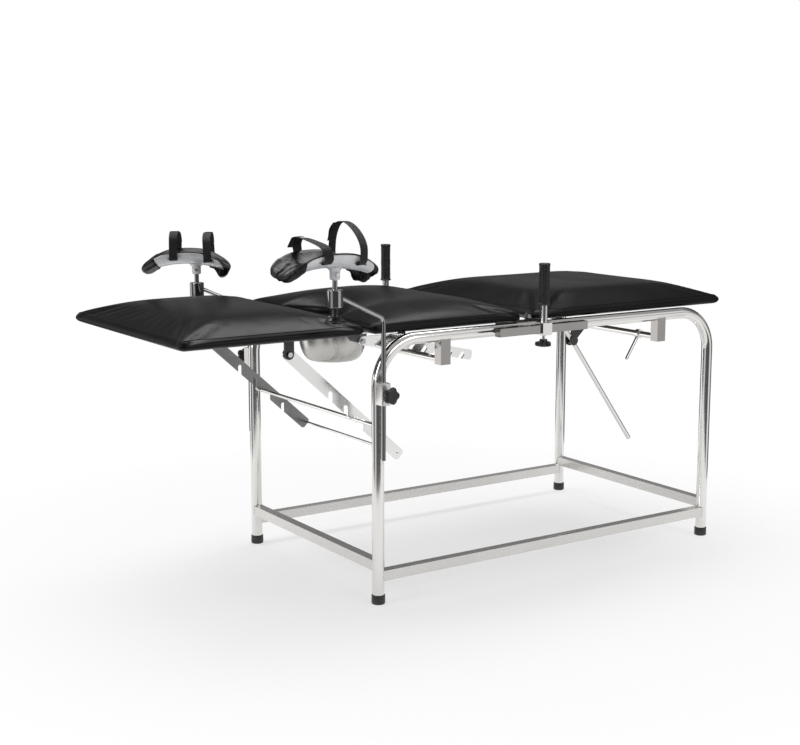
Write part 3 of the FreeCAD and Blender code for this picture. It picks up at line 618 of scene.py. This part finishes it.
def saddle_mesh(side):
    """Vertices and faces of the pressed saddle, which has rounded ends."""
    across, along = 44, 56
    top, under = [], []
    for i in range(along + 1):
        for j in range(across + 1):
            v = -1.0 + 2.0 * j / across
            u = (-1.0 + 2.0 * i / along) * SHELL_HALF * end_round(v)
            p, n = saddle(u, v)
            top.append(p + n * SHELL_THICK)
            under.append(p)
    size = len(top)
    faces = []
    for i in range(along):
        for j in range(across):
            a = i * (across + 1) + j
            quad = (a, a + 1, a + across + 2, a + across + 1)
            faces.append(quad)
            faces.append(tuple(size + k for k in reversed(quad)))
    rim = list(range(across + 1))
    rim += [i * (across + 1) + across for i in range(1, along + 1)]
    rim += [along * (across + 1) + j for j in range(across - 1, -1, -1)]
    rim += [i * (across + 1) for i in range(along - 1, 0, -1)]
    for a, b in zip(rim, rim[1:] + rim[:1]):
        faces.append((b, a, size + a, size + b))
    return place_rest(top + under, side), faces


def cut_slots(shell, side, body):
    """Cuts the long holes that the straps pass through, two for each strap."""
    cutter = Builder()
    half_long, round_r = 0.0135, 0.0028
    for strap_x in STRAP_X:
        for v in (-0.78, 0.78):
            low, high = [], []
            for k in range(24):
                angle = TAU * k / 24
                du = half_long * math.copysign(1, math.cos(angle)) + round_r * math.cos(angle)
                dv = round_r * math.sin(angle) / (TROUGH_R * SPREAD)
                p, n = saddle(strap_x - REST_OFFSET + du, v + dv)
                low.append(p - n * 0.004)
                high.append(p + n * 0.007)
            cutter.rings([place_rest(low, side), place_rest(high, side)])
    tool = piece("slot_tool", cutter.verts, cutter.faces, REST_PAINT, body)
    bpy.context.view_layer.objects.active = shell
    cut = shell.modifiers.new("slots", "BOOLEAN")
    cut.object = tool
    cut.operation = "DIFFERENCE"
    cut.solver = "EXACT"
    bpy.ops.object.modifier_apply(modifier="slots")
    bpy.data.objects.remove(tool)


def rest_shell(side, word):
    """Pressed saddle with slots for the straps and bevelled edges."""
    body = "leg_rest_" + word
    verts, faces = saddle_mesh(side)
    shell = piece("rest_saddle_" + word, verts, faces, REST_PAINT, body, smooth=50)
    cut_slots(shell, side, body)
    bevel = shell.modifiers.new("edge", "BEVEL")
    bevel.width = 0.0008
    bevel.segments = 2
    bevel.limit_method = "ANGLE"
    bevel.angle_limit = math.radians(50)
    bpy.ops.object.modifier_apply(modifier="edge")
    finish_mesh(shell, 45)
    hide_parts("rest_shell_" + word)


def rest_hub(side, word):
    """Hub under the saddle, and the heads of the tilt pin on either side of it."""
    body = "leg_rest_" + word
    hub = Builder()
    profile = [(0.0, 0.944), (0.0118, 0.944), (0.0138, 0.9465), (0.0140, 0.9665), (0.0170, 0.972),
               (0.0235, 0.9768), (0.0235, 0.9782), (0.0, 0.9782)]
    hub.lathe(profile, place_rest([(0, 0, 0)], side)[0], segments=40)
    hub_obj = piece("rest_hub_" + word, hub.verts, hub.faces, REST_PAINT, body)
    heads = Builder()
    for way in (-1, 1):
        at = place_rest([(0, way * 0.0135, TILT_Z)], side)[0]
        axis = Matrix.Rotation(math.radians(REST_TURN[side]), 3, "Z") @ Vector((0, way, 0))
        heads.prism(6, 0.0062, at, axis, 0.0042, 0.0008)
    bolt = piece("tilt_bolt_" + word, heads.verts, heads.faces, ZINC, body)


def rest_liner(side, word):
    """Padded leather lining whose ends are gathered into boots over the ends of the saddle."""
    across, along = 72, 130
    seed = Vector((3.1, 7.7 * side, 1.3))
    hollow = 0.0031     # the inside face under the saddle's rim
    rings = []
    for i in range(along + 1):
        station = math.sin((-1.0 + 2.0 * i / along) * math.pi / 2.0)
        u = station * LINER_HALF
        tip = abs(station)
        close = max(0.0, 1.0 - tip ** 9) ** 0.5
        wide = 1.04 * (0.42 + 0.58 * (1.0 - tip ** 4.2) ** (1 / 2.2)) if tip < 1.0 else 0.44
        ring = []
        for j in range(2 * across):
            over = j < across
            w = (j % across) / across
            v = -math.cos(w * math.pi) * (1.0 if over else -1.0)
            if station < 0:
                mouth = 0.60 + 0.05 * abs(v)
            else:
                mouth = 0.52 + 0.46 * smoothstep(0.10, 0.46, abs(v))
            boot = smoothstep(mouth - 0.025, mouth + 0.035, tip)
            edge = max(0.0, 1.0 - abs(v) ** 5) ** 0.5
            # gathers run lengthwise and meet at the tip
            lean = 13.0 * v + 2.6 * noise.noise(Vector((u * 26, v * 2.2, 0)) + seed)
            deep = smoothstep(0.45, 0.80, tip) * (1.0 - 0.5 * abs(v) ** 3)
            folds = 0.0021 * math.sin(lean) * deep
            folds += 0.0012 * noise.noise(Vector((u * 40, v * 3.0, 1.7)) + seed)
            folds += 0.0005 * noise.noise(Vector((u * 130, v * 9.0, 4.7)) + seed)
            if over:
                lift = 0.0034 + (0.0100 * close + folds) * edge + 0.0012 * close * (1 - edge)
            else:
                deepest = 0.0300 if station > 0 else 0.0110
                hang = (deepest - 0.0046) * smoothstep(0.62, 0.92, tip) * (1 - abs(v) ** 2.2)
                bag = -(0.0046 + hang) * close
                lift = hollow + (bag - hollow) * boot + folds * boot * edge
            ring.append(saddle(u, v * wide * (1.0 + 0.03 * boot), lift)[0])
        rings.append(place_rest(ring, side))
    build = Builder()
    build.rings(rings)
    obj = piece("rest_lining_" + word, build.verts, build.faces, REST_LEATHER, "leg_rest_" + word, 70)
    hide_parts("rest_liner_" + word)


def band(sheet, path, wide_axis, width):
    """Adds flat webbing along a path to a sheet. wide_axis(i) is the direction of its width at a point."""
    verts, faces, uvs = sheet
    base = len(verts)
    run = 0.0
    columns = 6
    for i, point in enumerate(path):
        if i:
            run += (point - path[i - 1]).length
        ahead = (path[min(i + 1, len(path) - 1)] - path[max(i - 1, 0)]).normalized()
        across = wide_axis(i)
        across = (across - ahead * across.dot(ahead)).normalized()
        up = ahead.cross(across)
        for face, order in ((1, range(columns + 1)), (-1, range(columns, -1, -1))):
            for k in order:
                t = -0.5 + k / columns
                swell = STRAP_THICK * 0.5 * (1.0 - 0.45 * (2 * abs(t)) ** 6)
                verts.append(point + across * width * t + up * swell * face)
                uvs.append((run, t * width))
    count = 2 * (columns + 1)
    for i in range(len(path) - 1):
        low, high = base + i * count, base + (i + 1) * count
        for k in range(count):
            j = (k + 1) % count
            faces.append((low + k, low + j, high + j, high + k))
    faces.append(tuple(base + k for k in reversed(range(count))))
    last = base + (len(path) - 1) * count
    faces.append(tuple(last + k for k in range(count)))


# from the slot under the rim up to it, as (across, height)
STRAP_START = ((-0.0560, 0.9955), (-0.0675, 0.9925), (-0.0765, 0.9985), (-0.0820, 1.0100))
# each strap's loop from the near rim to the far rim and its lapped tail, both as (across, height),
# and how far the loop leans along the rest
STRAP_LOOPS = {
    1: (
        (((-0.086, 1.035), (-0.084, 1.066), (-0.052, 1.080), (0.000, 1.077), (0.050, 1.064), (0.080, 1.036)),
         ((0.030, 1.072), (0.060, 1.064), (0.084, 1.048), (0.092, 1.034)), 0.002),
        (((-0.084, 1.035), (-0.078, 1.058), (-0.048, 1.070), (0.002, 1.073), (0.052, 1.064), (0.082, 1.036)),
         ((0.034, 1.071), (0.064, 1.062), (0.088, 1.050), (0.098, 1.034)), -0.003),
    ),
    -1: (
        (((-0.078, 1.030), (-0.060, 1.041), (-0.020, 1.049), (0.030, 1.055), (0.062, 1.053), (0.080, 1.036)),
         ((0.060, 1.0555), (0.082, 1.052), (0.098, 1.036), (0.108, 1.024)), -0.010),
        (((-0.078, 1.035), (-0.056, 1.062), (-0.018, 1.086), (0.022, 1.096), (0.056, 1.087), (0.078, 1.052)),
         ((0.058, 1.089), (0.079, 1.072), (0.086, 1.052), (0.092, 1.040)), 0.004),
    ),
}


def rest_straps(side, word):
    """Two webbing straps from slot to slot over a rest; each closes with a lapped tail."""
    verts, faces, uvs = [], [], []
    turn = math.radians(REST_TURN[side])
    for u, (over, tail, lean) in zip(STRAP_X, STRAP_LOOPS[side]):
        fall = 0.006 if u > 0 else 0.0
        knots = [(u, y, z - fall) for y, z in STRAP_START]
        knots += [(u + lean * math.sin(math.pi * (k + 1) / 7), y, z) for k, (y, z) in enumerate(over)]
        knots += [(u, -y, z - fall) for y, z in reversed(STRAP_START)]
        path = place_rest(smooth_path(knots, 7), side)
        count = len(path)

        def axis(i, count=count, lean=lean):
            twist = 0.22 * math.sin(math.pi * i / count) * (1 if lean >= 0 else -1)
            return Vector((math.cos(turn + twist), math.sin(turn + twist), 0.12 * math.sin(TAU * i / count)))

        band((verts, faces, uvs), path, axis, STRAP_WIDE)
        lapped = [(u + lean * 0.6, y, z + 0.002) for y, z in tail]
        band((verts, faces, uvs), place_rest(smooth_path(lapped, 8), side), axis, STRAP_WIDE - 0.0005)
    obj = piece("rest_webbing_" + word, verts, faces, WEBBING, "leg_rest_" + word, smooth=50)
    layer = obj.data.uv_layers.new(name="UVMap")
    uv_at = {tuple(round(c, 5) for c in v): uv for v, uv in zip(verts, uvs)}
    for loop in obj.data.loops:
        co = obj.data.vertices[loop.vertex_index].co
        layer.data[loop.index].uv = uv_at.get(tuple(round(c, 5) for c in co), (0.0, 0.0))
    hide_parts("rest_straps_" + word)


for side, word in ((1, "far"), (-1, "near")):
    rest_shell(side, word)
    rest_hub(side, word)
    rest_liner(side, word)
    rest_straps(side, word)


# ---- knobs, grips, bowl, feet and small hardware ------------------------------------------
GRIP_X = 0.172
GRIP_Y = 0.4275
GRIP_KNOB_Z = 0.707
CLAMP_KNOB = (-0.371, 0.445, 0.614)
KNOB_R = 0.025
KNOB_HEIGHT = 0.021
# star knob from its face round to its hub, as (share of the radius, height, how much the lobes show)
KNOB_PROFILE = (
    (0.001, 0.0008, 0), (0.40, 0.0004, 0), (0.62, -0.0002, 0), (0.80, 0.0004, 0.55), (0.93, 0.0016, 0.85),
    (1.0, 0.0040, 1), (1.0, 0.0095, 1), (0.95, 0.0122, 1), (0.84, 0.0136, 0.8), (0.62, 0.0142, 0.3),
    (0.50, 0.0150, 0), (0.455, 0.0175, 0), (0.44, KNOB_HEIGHT, 0), (0.001, KNOB_HEIGHT, 0),
)


def lobes(angle):
    """Five rounded lobes with hollows between them."""
    wave = 0.5 + 0.5 * math.cos(5.0 * angle)
    return 0.77 + 0.23 * wave ** 0.6


def star_knob(name, body, node, centre, axis):
    """Moulded star knob: lobed skirt, domed face and hub."""
    build = Builder()
    rings = []
    turn = Vector((0, 0, 1)).rotation_difference(Vector(axis)).to_matrix()
    segments = 96
    for share, z, lobed in KNOB_PROFILE:
        ring = []
        for i in range(segments):
            angle = TAU * i / segments
            r = KNOB_R * share * (1.0 + lobed * (lobes(angle) - 1.0))
            ring.append(Vector(centre) + turn @ Vector((r * math.cos(angle), r * math.sin(angle), z)))
        rings.append(ring)
    build.rings(rings)
    knob = piece(name, build.verts, build.faces, PHENOLIC, body, smooth=40)
    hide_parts(node)


def knob_screw(name, body, centre, axis, reach):
    """Steel screw that stands out of a star knob's hub, and the disc pressed into its face."""
    build = Builder()
    low, high, r = KNOB_HEIGHT - 0.001, KNOB_HEIGHT + reach, 0.004
    build.lathe([(0.0, low), (r, low), (r, high), (0.0, high)], centre, axis, 24)
    cap = [(0.0, -0.0006), (0.0062, -0.0004), (0.0072, 0.0004), (0.0074, 0.0010), (0.0, 0.0010)]
    build.lathe(cap, centre, axis, 28)
    rod = piece(name, build.verts, build.faces, ZINC, body)


def rib_shape(angle, height):
    """Two shallow grooves run down a grip, opposite each other."""
    groove = 0.0
    for at in (0.25 * math.pi, 1.25 * math.pi):
        gap = (angle - at + math.pi) % TAU - math.pi
        groove += math.exp(-(gap / 0.10) ** 2)
    return 1.0 - 0.075 * groove


def grip(side, word):
    """Rubber hand grip: a flanged foot, a shaft of ribs in groups of five, and a rounded top."""
    low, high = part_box("rubber_grip_" + word)
    bottom, top = low.z, high.z
    profile = [(0.0112, bottom + 0.0004), (0.0165, bottom), (0.0176, bottom + 0.0008),
               (0.0178, bottom + 0.004), (0.0168, bottom + 0.0056)]
    ribs = 25
    start = bottom + 0.0075
    pitch = (top - 0.0075 - start) / ribs
    for k in range(ribs):
        z = start + k * pitch
        swell = 0.0004 if (k // 5) % 2 == 0 else 0.0
        profile += [(0.0148, z), (0.0150, z + 0.18 * pitch), (0.0160 + swell, z + 0.34 * pitch),
                    (0.0162 + swell, z + 0.62 * pitch), (0.0160 + swell, z + 0.84 * pitch),
                    (0.0150, z + 0.97 * pitch)]
    profile += [(0.0168, top - 0.0062), (0.0172, top - 0.0035), (0.0164, top - 0.0012),
                (0.0140, top - 0.0002), (0.0, top)]
    build = Builder()
    build.lathe(profile, (GRIP_X, side * GRIP_Y, 0.0), segments=80, shape=rib_shape)
    obj = piece("ribbed_grip_" + word, build.verts, build.faces, RUBBER, "grip_" + word, smooth=35)
    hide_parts("rubber_grip_" + word)


def flared_knob(word):
    """Round knob under a pole's socket, with a wide fluted foot."""
    low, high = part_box("socket_knob_" + word)
    centre = Vector(((low.x + high.x) / 2, (low.y + high.y) / 2, 0))
    z = low.z
    top = high.z - 0.0167
    profile = [(0.0, z + 0.0015), (0.019, z + 0.0012), (0.0225, z), (0.0262, z + 0.0004),
               (0.0283, z + 0.0020), (0.0288, z + 0.0045), (0.0280, z + 0.0070), (0.0245, z + 0.0105),
               (0.0190, z + 0.0135), (0.0142, z + 0.0168), (0.0118, z + 0.0205), (0.0107, z + 0.0250),
               (0.0104, top), (0.0, top)]

    def fluted(angle, height):
        return 1.0 - (0.018 * (0.5 - 0.5 * math.cos(16 * angle)) if height < z + 0.009 else 0.0)

    build = Builder()
    build.lathe(profile, centre, segments=128, shape=fluted)
    obj = piece("flared_knob_" + word, build.verts, build.faces, PHENOLIC, "neck_screw_" + word)
    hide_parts("socket_knob_" + word)


for side, word in ((1, "far"), (-1, "near")):
    grip_knob_at = (GRIP_X, side * GRIP_Y, GRIP_KNOB_Z)
    star_knob("grip_star_" + word, "grip_screw_" + word, "grip_knob_" + word, grip_knob_at, (0, 0, 1))
    knob_screw("grip_star_" + word + "_screw", "grip_screw_" + word, grip_knob_at, (0, 0, 1), 0.0185)
    clamp_knob_at = (CLAMP_KNOB[0], side * CLAMP_KNOB[1], CLAMP_KNOB[2])
    star_knob("clamp_star_" + word, "pole_screw_" + word, "clamp_knob_" + word, clamp_knob_at,
              (0, -side, 0))
    grip(side, word)
    flared_knob(word)


def bowl():
    """Steel bowl with a flat floor, flared walls and a rolled rim."""
    low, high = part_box("bowl")
    centre = Vector(((low.x + high.x) / 2, (low.y + high.y) / 2, 0))
    radius = (high.x - low.x) / 2
    z0, z1 = low.z, high.z
    deep = z1 - z0
    floor_r = 0.60 * radius
    wall_r = radius - 0.006
    outer = [(0.0, z0 + 0.0006), (floor_r * 0.55, z0 + 0.0004), (floor_r * 0.9, z0)]
    steps = 22
    for k in range(steps + 1):
        a = 0.5 * math.pi * k / steps
        r = floor_r + (wall_r - floor_r) * math.sin(a) ** 0.9
        outer.append((r, z0 + (deep - 0.002) * (1 - math.cos(a)) ** 0.9))
    rim = [(wall_r + 0.0035, z1 - 0.0024), (radius - 0.0006, z1 - 0.0022), (radius, z1 - 0.0012),
           (radius - 0.0006, z1 - 0.0002), (wall_r + 0.003, z1), (wall_r - 0.0004, z1 - 0.0004)]
    inner = [(max(r - 0.0012, 0.0), z + 0.0012) for r, z in reversed(outer[:-1])]
    build = Builder()
    build.lathe(outer + rim + inner, centre, segments=120)
    obj = piece("catch_bowl", build.verts, build.faces, SPUN, "seat_section")
    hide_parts("bowl")


bowl()


LEG_X = (-0.371, 0.911)             # axes of the frame's legs
HOOP_Y = 0.368                      # planes of the two hoops, far and near
TOP_RAIL_Z = 0.7575
TUBE_R = 0.0175
LOWER_RAIL_WIDE = 0.030
SIDE_RAIL_Z = 0.068                 # underside of the long rails
END_RAIL_Z = 0.098                  # underside of the short rails
STUB_X = (-0.150, 0.690)
STUB_HALF = (0.017, 0.0155)         # half of a stub's sides along and across the table
HINGE_BOLTS = ((-0.398, 0.757, 0.0085), (0.146, 0.785, 0.0065), (0.190, 0.785, 0.0065))  # x, z, radius
HINGE_FACE = 0.3354                 # outer face of the hinge plates
HINGE_SHANK = 0.3192                # inner end of the bolts' shanks
HINGE_NUT = 0.3245                  # where the nuts bear
RACK_PIN_R = 0.0088
RACK_BOLTS = (("leg_rack_bolts", "leg_section", -0.6035, 0.7296, 0.283),
              ("seat_rack_bolts", "seat_section", -0.250, 0.7348, 0.308))


def feet():
    """Rubber caps on the ends of the legs, each with a groove under its lip."""
    profile = [(0.0, 0.0), (0.0165, 0.0), (0.0186, 0.0008), (0.0197, 0.0026), (0.0200, 0.0060),
               (0.0198, 0.0195), (0.0190, 0.0203), (0.0190, 0.0218), (0.0197, 0.0226), (0.0195, 0.0268),
               (0.0186, 0.0279), (0.0176, 0.0275), (0.0174, 0.0060), (0.0, 0.0060)]
    build = Builder()
    for x in LEG_X:
        for y in (-HOOP_Y, HOOP_Y):
            build.lathe(profile, (x, y, 0), segments=56)
    obj = piece("foot_caps", build.verts, build.faces, RUBBER, "frame")
    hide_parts("rubber_foot_caps")


feet()


def disc(radius, height):
    return [(0.0, 0.0), (radius, 0.0), (radius, height), (0.0, height)]


def hinge_bolts():
    """Washers, hexagonal heads, shanks and nuts of the hinges."""
    build = Builder()
    for x, z, r in HINGE_BOLTS:
        for way in (-1, 1):
            out = (0, way, 0)
            face = way * HINGE_FACE
            build.lathe(disc(r, 0.0010), (x, face, z), out, 28)
            build.prism(6, r * 0.92, (x, face + way * 0.001, z), out, 0.0042, 0.0007)
            build.lathe(disc(0.0042, 0.0108), (x, way * HINGE_SHANK, z), out, 20)
            build.prism(6, r * 0.92, (x, way * HINGE_NUT, z), (0, -way, 0), 0.0050, 0.0007)
    obj = piece("hinge_bolt_set", build.verts, build.faces, ZINC, "frame")
    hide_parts("hinge_bolts")


def rack_bolts(name, body, x, z, face):
    """Hexagonal heads of the pins that the notched bars turn on."""
    build = Builder()
    for way in (-1, 1):
        build.prism(6, RACK_PIN_R * 0.9, (x, way * (face + 0.0036), z), (0, way, 0), 0.0034, 0.0006)
    obj = piece(name, build.verts, build.faces, ZINC, body)


hinge_bolts()
for row in RACK_BOLTS:
    rack_bolts(*row)


def weld_bead(build, corners, place):
    """Rippled bead round a bar; place turns a point of the bar's outline into one on the round tube."""
    steps = 10
    loop = []
    for (a, b), (c, d) in zip(corners, corners[1:] + corners[:1]):
        for k in range(steps):
            loop.append(Vector(place(a + (c - a) * k / steps, b + (d - b) * k / steps)))
    build.loop_tube(loop, lambda i: 0.0014 + 0.00035 * math.sin(i * 1.9))


def square(half, low, high):
    return [(-half, low), (half, low), (half, high), (-half, high)]


def skin_at(offset):
    """How far a round tube's skin stands from its middle plane, at an offset from its axis."""
    return math.sqrt(TUBE_R ** 2 - offset ** 2)


def welds():
    """Beads where the lower rails meet the legs and where the stubs meet the top rails."""
    build = Builder()
    half = LOWER_RAIL_WIDE / 2.0
    for x in LEG_X:
        inside = -math.copysign(1.0, x - sum(LEG_X) / 2.0)
        for y in (-HOOP_Y, HOOP_Y):
            way = -math.copysign(1.0, y)
            weld_bead(build, square(half, SIDE_RAIL_Z, END_RAIL_Z),
                      lambda dy, z: (x + inside * skin_at(dy), y + dy, z))
            weld_bead(build, square(half, END_RAIL_Z, END_RAIL_Z + LOWER_RAIL_WIDE),
                      lambda dx, z: (x + dx, y + way * skin_at(dx), z))
    for x in STUB_X:
        for way in (-1, 1):
            weld_bead(build, square(STUB_HALF[0], -STUB_HALF[1], STUB_HALF[1]),
                      lambda dx, dy: (x + dx, way * HOOP_Y + dy, TOP_RAIL_Z - skin_at(dy)))
    obj = piece("weld_beads", build.verts, build.faces, BRUSHED_X, "frame")


welds()


# ---- camera, floor and light --------------------------------------------------------------
CAMERA_AT = (-2.4802, -3.6591, 1.3304)
CAMERA_DOWN = 9.585         # degrees below level
CAMERA_TURN = -33.5625      # degrees from +Y
LENS = 64.05                # on a 36 mm wide sensor
FLOOR_R = 1.8
# what the metal reflects all round, as (share of a turn from -X, level)
PANELS = (
    (0.0, 0.70), (0.060, 0.85), (0.085, 0.12), (0.285, 0.10), (0.315, 1.0), (0.400, 1.0), (0.425, 0.16),
    (0.50, 0.20), (0.56, 0.10), (0.74, 0.06), (0.79, 0.20), (0.815, 0.14), (0.835, 2.0), (0.875, 2.0),
    (0.900, 0.12), (0.975, 0.14), (1.0, 0.70),
)
# a paler band a little above level, as (height of the direction, share of the band)
LOW_BAND = ((0.0, 0.0), (0.06, 0.0), (0.12, 1.0), (0.20, 1.0), (0.32, 0.0), (1.0, 0.0))


def camera():
    data = bpy.data.cameras.new("camera")
    data.lens = LENS
    data.sensor_width = 36.0
    obj = bpy.data.objects.new("camera", data)
    obj.location = CAMERA_AT
    obj.rotation_euler = (math.radians(90.0 - CAMERA_DOWN), 0.0, math.radians(CAMERA_TURN))
    SCENE.collection.objects.link(obj)
    SCENE.camera = obj


camera()


def floor():
    """Pale floor that fades into the white backdrop away from the table."""
    mat, tree, shader, coord = material("pale_floor")
    slow = texture(tree, coord.outputs["Object"], 1.5, 3.0)
    tree.links.new(ramp(tree, slow, [(0.2, grey(0.88)), (0.8, grey(0.90))]), shader.inputs["Base Color"])
    shader.inputs["Roughness"].default_value = 0.75
    length = tree.nodes.new("ShaderNodeVectorMath")
    length.operation = "LENGTH"
    tree.links.new(coord.outputs["Object"], length.inputs[0])
    away = spread(tree, length.outputs["Value"], 0.60, 1.0, (0.6, FLOOR_R - 0.1))
    glow = tree.nodes.new("ShaderNodeEmission")
    glow.inputs["Strength"].default_value = 1.0
    mix = tree.nodes.new("ShaderNodeMixShader")
    out = next(n for n in tree.nodes if n.type == "OUTPUT_MATERIAL")
    tree.links.new(away, mix.inputs[0])
    tree.links.new(shader.outputs[0], mix.inputs[1])
    tree.links.new(glow.outputs[0], mix.inputs[2])
    tree.links.new(mix.outputs[0], out.inputs[0])
    mesh = bpy.data.meshes.new("floor")
    corners = 96
    angles = [TAU * k / corners for k in range(corners)]
    edge = [(FLOOR_R * math.cos(a), FLOOR_R * math.sin(a), 0.0) for a in angles]
    mesh.from_pydata(edge, [], [tuple(range(corners))])
    obj = bpy.data.objects.new("floor", mesh)
    mesh.materials.append(mat)
    SCENE.collection.objects.link(obj)


floor()


def softbox(name, place, aim, size, power):
    data = bpy.data.lights.new(name, "AREA")
    data.shape = "RECTANGLE"
    data.size, data.size_y = size
    data.energy = power
    obj = bpy.data.objects.new(name, data)
    obj.location = place
    obj.rotation_euler = (Vector(aim) - Vector(place)).to_track_quat("-Z", "Y").to_euler()
    SCENE.collection.objects.link(obj)


softbox("top_box", (0.3, 0.8, 3.4), (0.1, 0.0, 0.7), (3.2, 1.6), 75.0)
softbox("left_box", (-3.6, -0.2, 1.9), (-0.1, 0.0, 0.7), (1.2, 2.2), 38.0)
softbox("front_box", (0.8, -3.8, 2.3), (0.2, 0.0, 0.6), (2.6, 1.2), 30.0)


def studio_world():
    """White backdrop; what the metal reflects is a studio of bright panels between dark gaps."""
    world = bpy.data.worlds.new("studio")
    world.use_nodes = True
    SCENE.world = world
    tree = world.node_tree
    tree.nodes.clear()
    out = tree.nodes.new("ShaderNodeOutputWorld")
    coord = tree.nodes.new("ShaderNodeTexCoord")
    split = tree.nodes.new("ShaderNodeSeparateXYZ")
    tree.links.new(coord.outputs["Generated"], split.inputs[0])
    angle = maths(tree, "ARCTAN2", split.outputs[1], split.outputs[0])
    turn = spread(tree, angle, 0.0, 1.0, (-math.pi, math.pi))
    panels = ramp(tree, turn, [(at, grey(level)) for at, level in PANELS])
    low_band = ramp(tree, split.outputs[2], [(at, grey(share)) for at, share in LOW_BAND])
    high_up = spread(tree, split.outputs[2], 0.0, 1.0, (0.55, 0.80))
    colour = panels
    for factor, level in ((low_band, 0.42), (high_up, 0.55)):
        mix = tree.nodes.new("ShaderNodeMix")
        mix.data_type = "RGBA"
        tree.links.new(factor, mix.inputs[0])
        tree.links.new(colour, mix.inputs[6])
        mix.inputs[7].default_value = (*grey(level), 1.0)
        colour = mix.outputs[2]
    studio = tree.nodes.new("ShaderNodeBackground")
    studio.inputs["Strength"].default_value = 0.85
    tree.links.new(colour, studio.inputs["Color"])
    backdrop = tree.nodes.new("ShaderNodeBackground")
    backdrop.inputs["Color"].default_value = (1.0, 1.0, 1.0, 1.0)
    backdrop.inputs["Strength"].default_value = 1.0
    path = tree.nodes.new("ShaderNodeLightPath")
    choose = tree.nodes.new("ShaderNodeMixShader")
    tree.links.new(path.outputs["Is Camera Ray"], choose.inputs[0])
    tree.links.new(studio.outputs[0], choose.inputs[1])
    tree.links.new(backdrop.outputs[0], choose.inputs[2])
    tree.links.new(choose.outputs[0], out.inputs[0])


studio_world()
SCENE.view_settings.view_transform = "Standard"
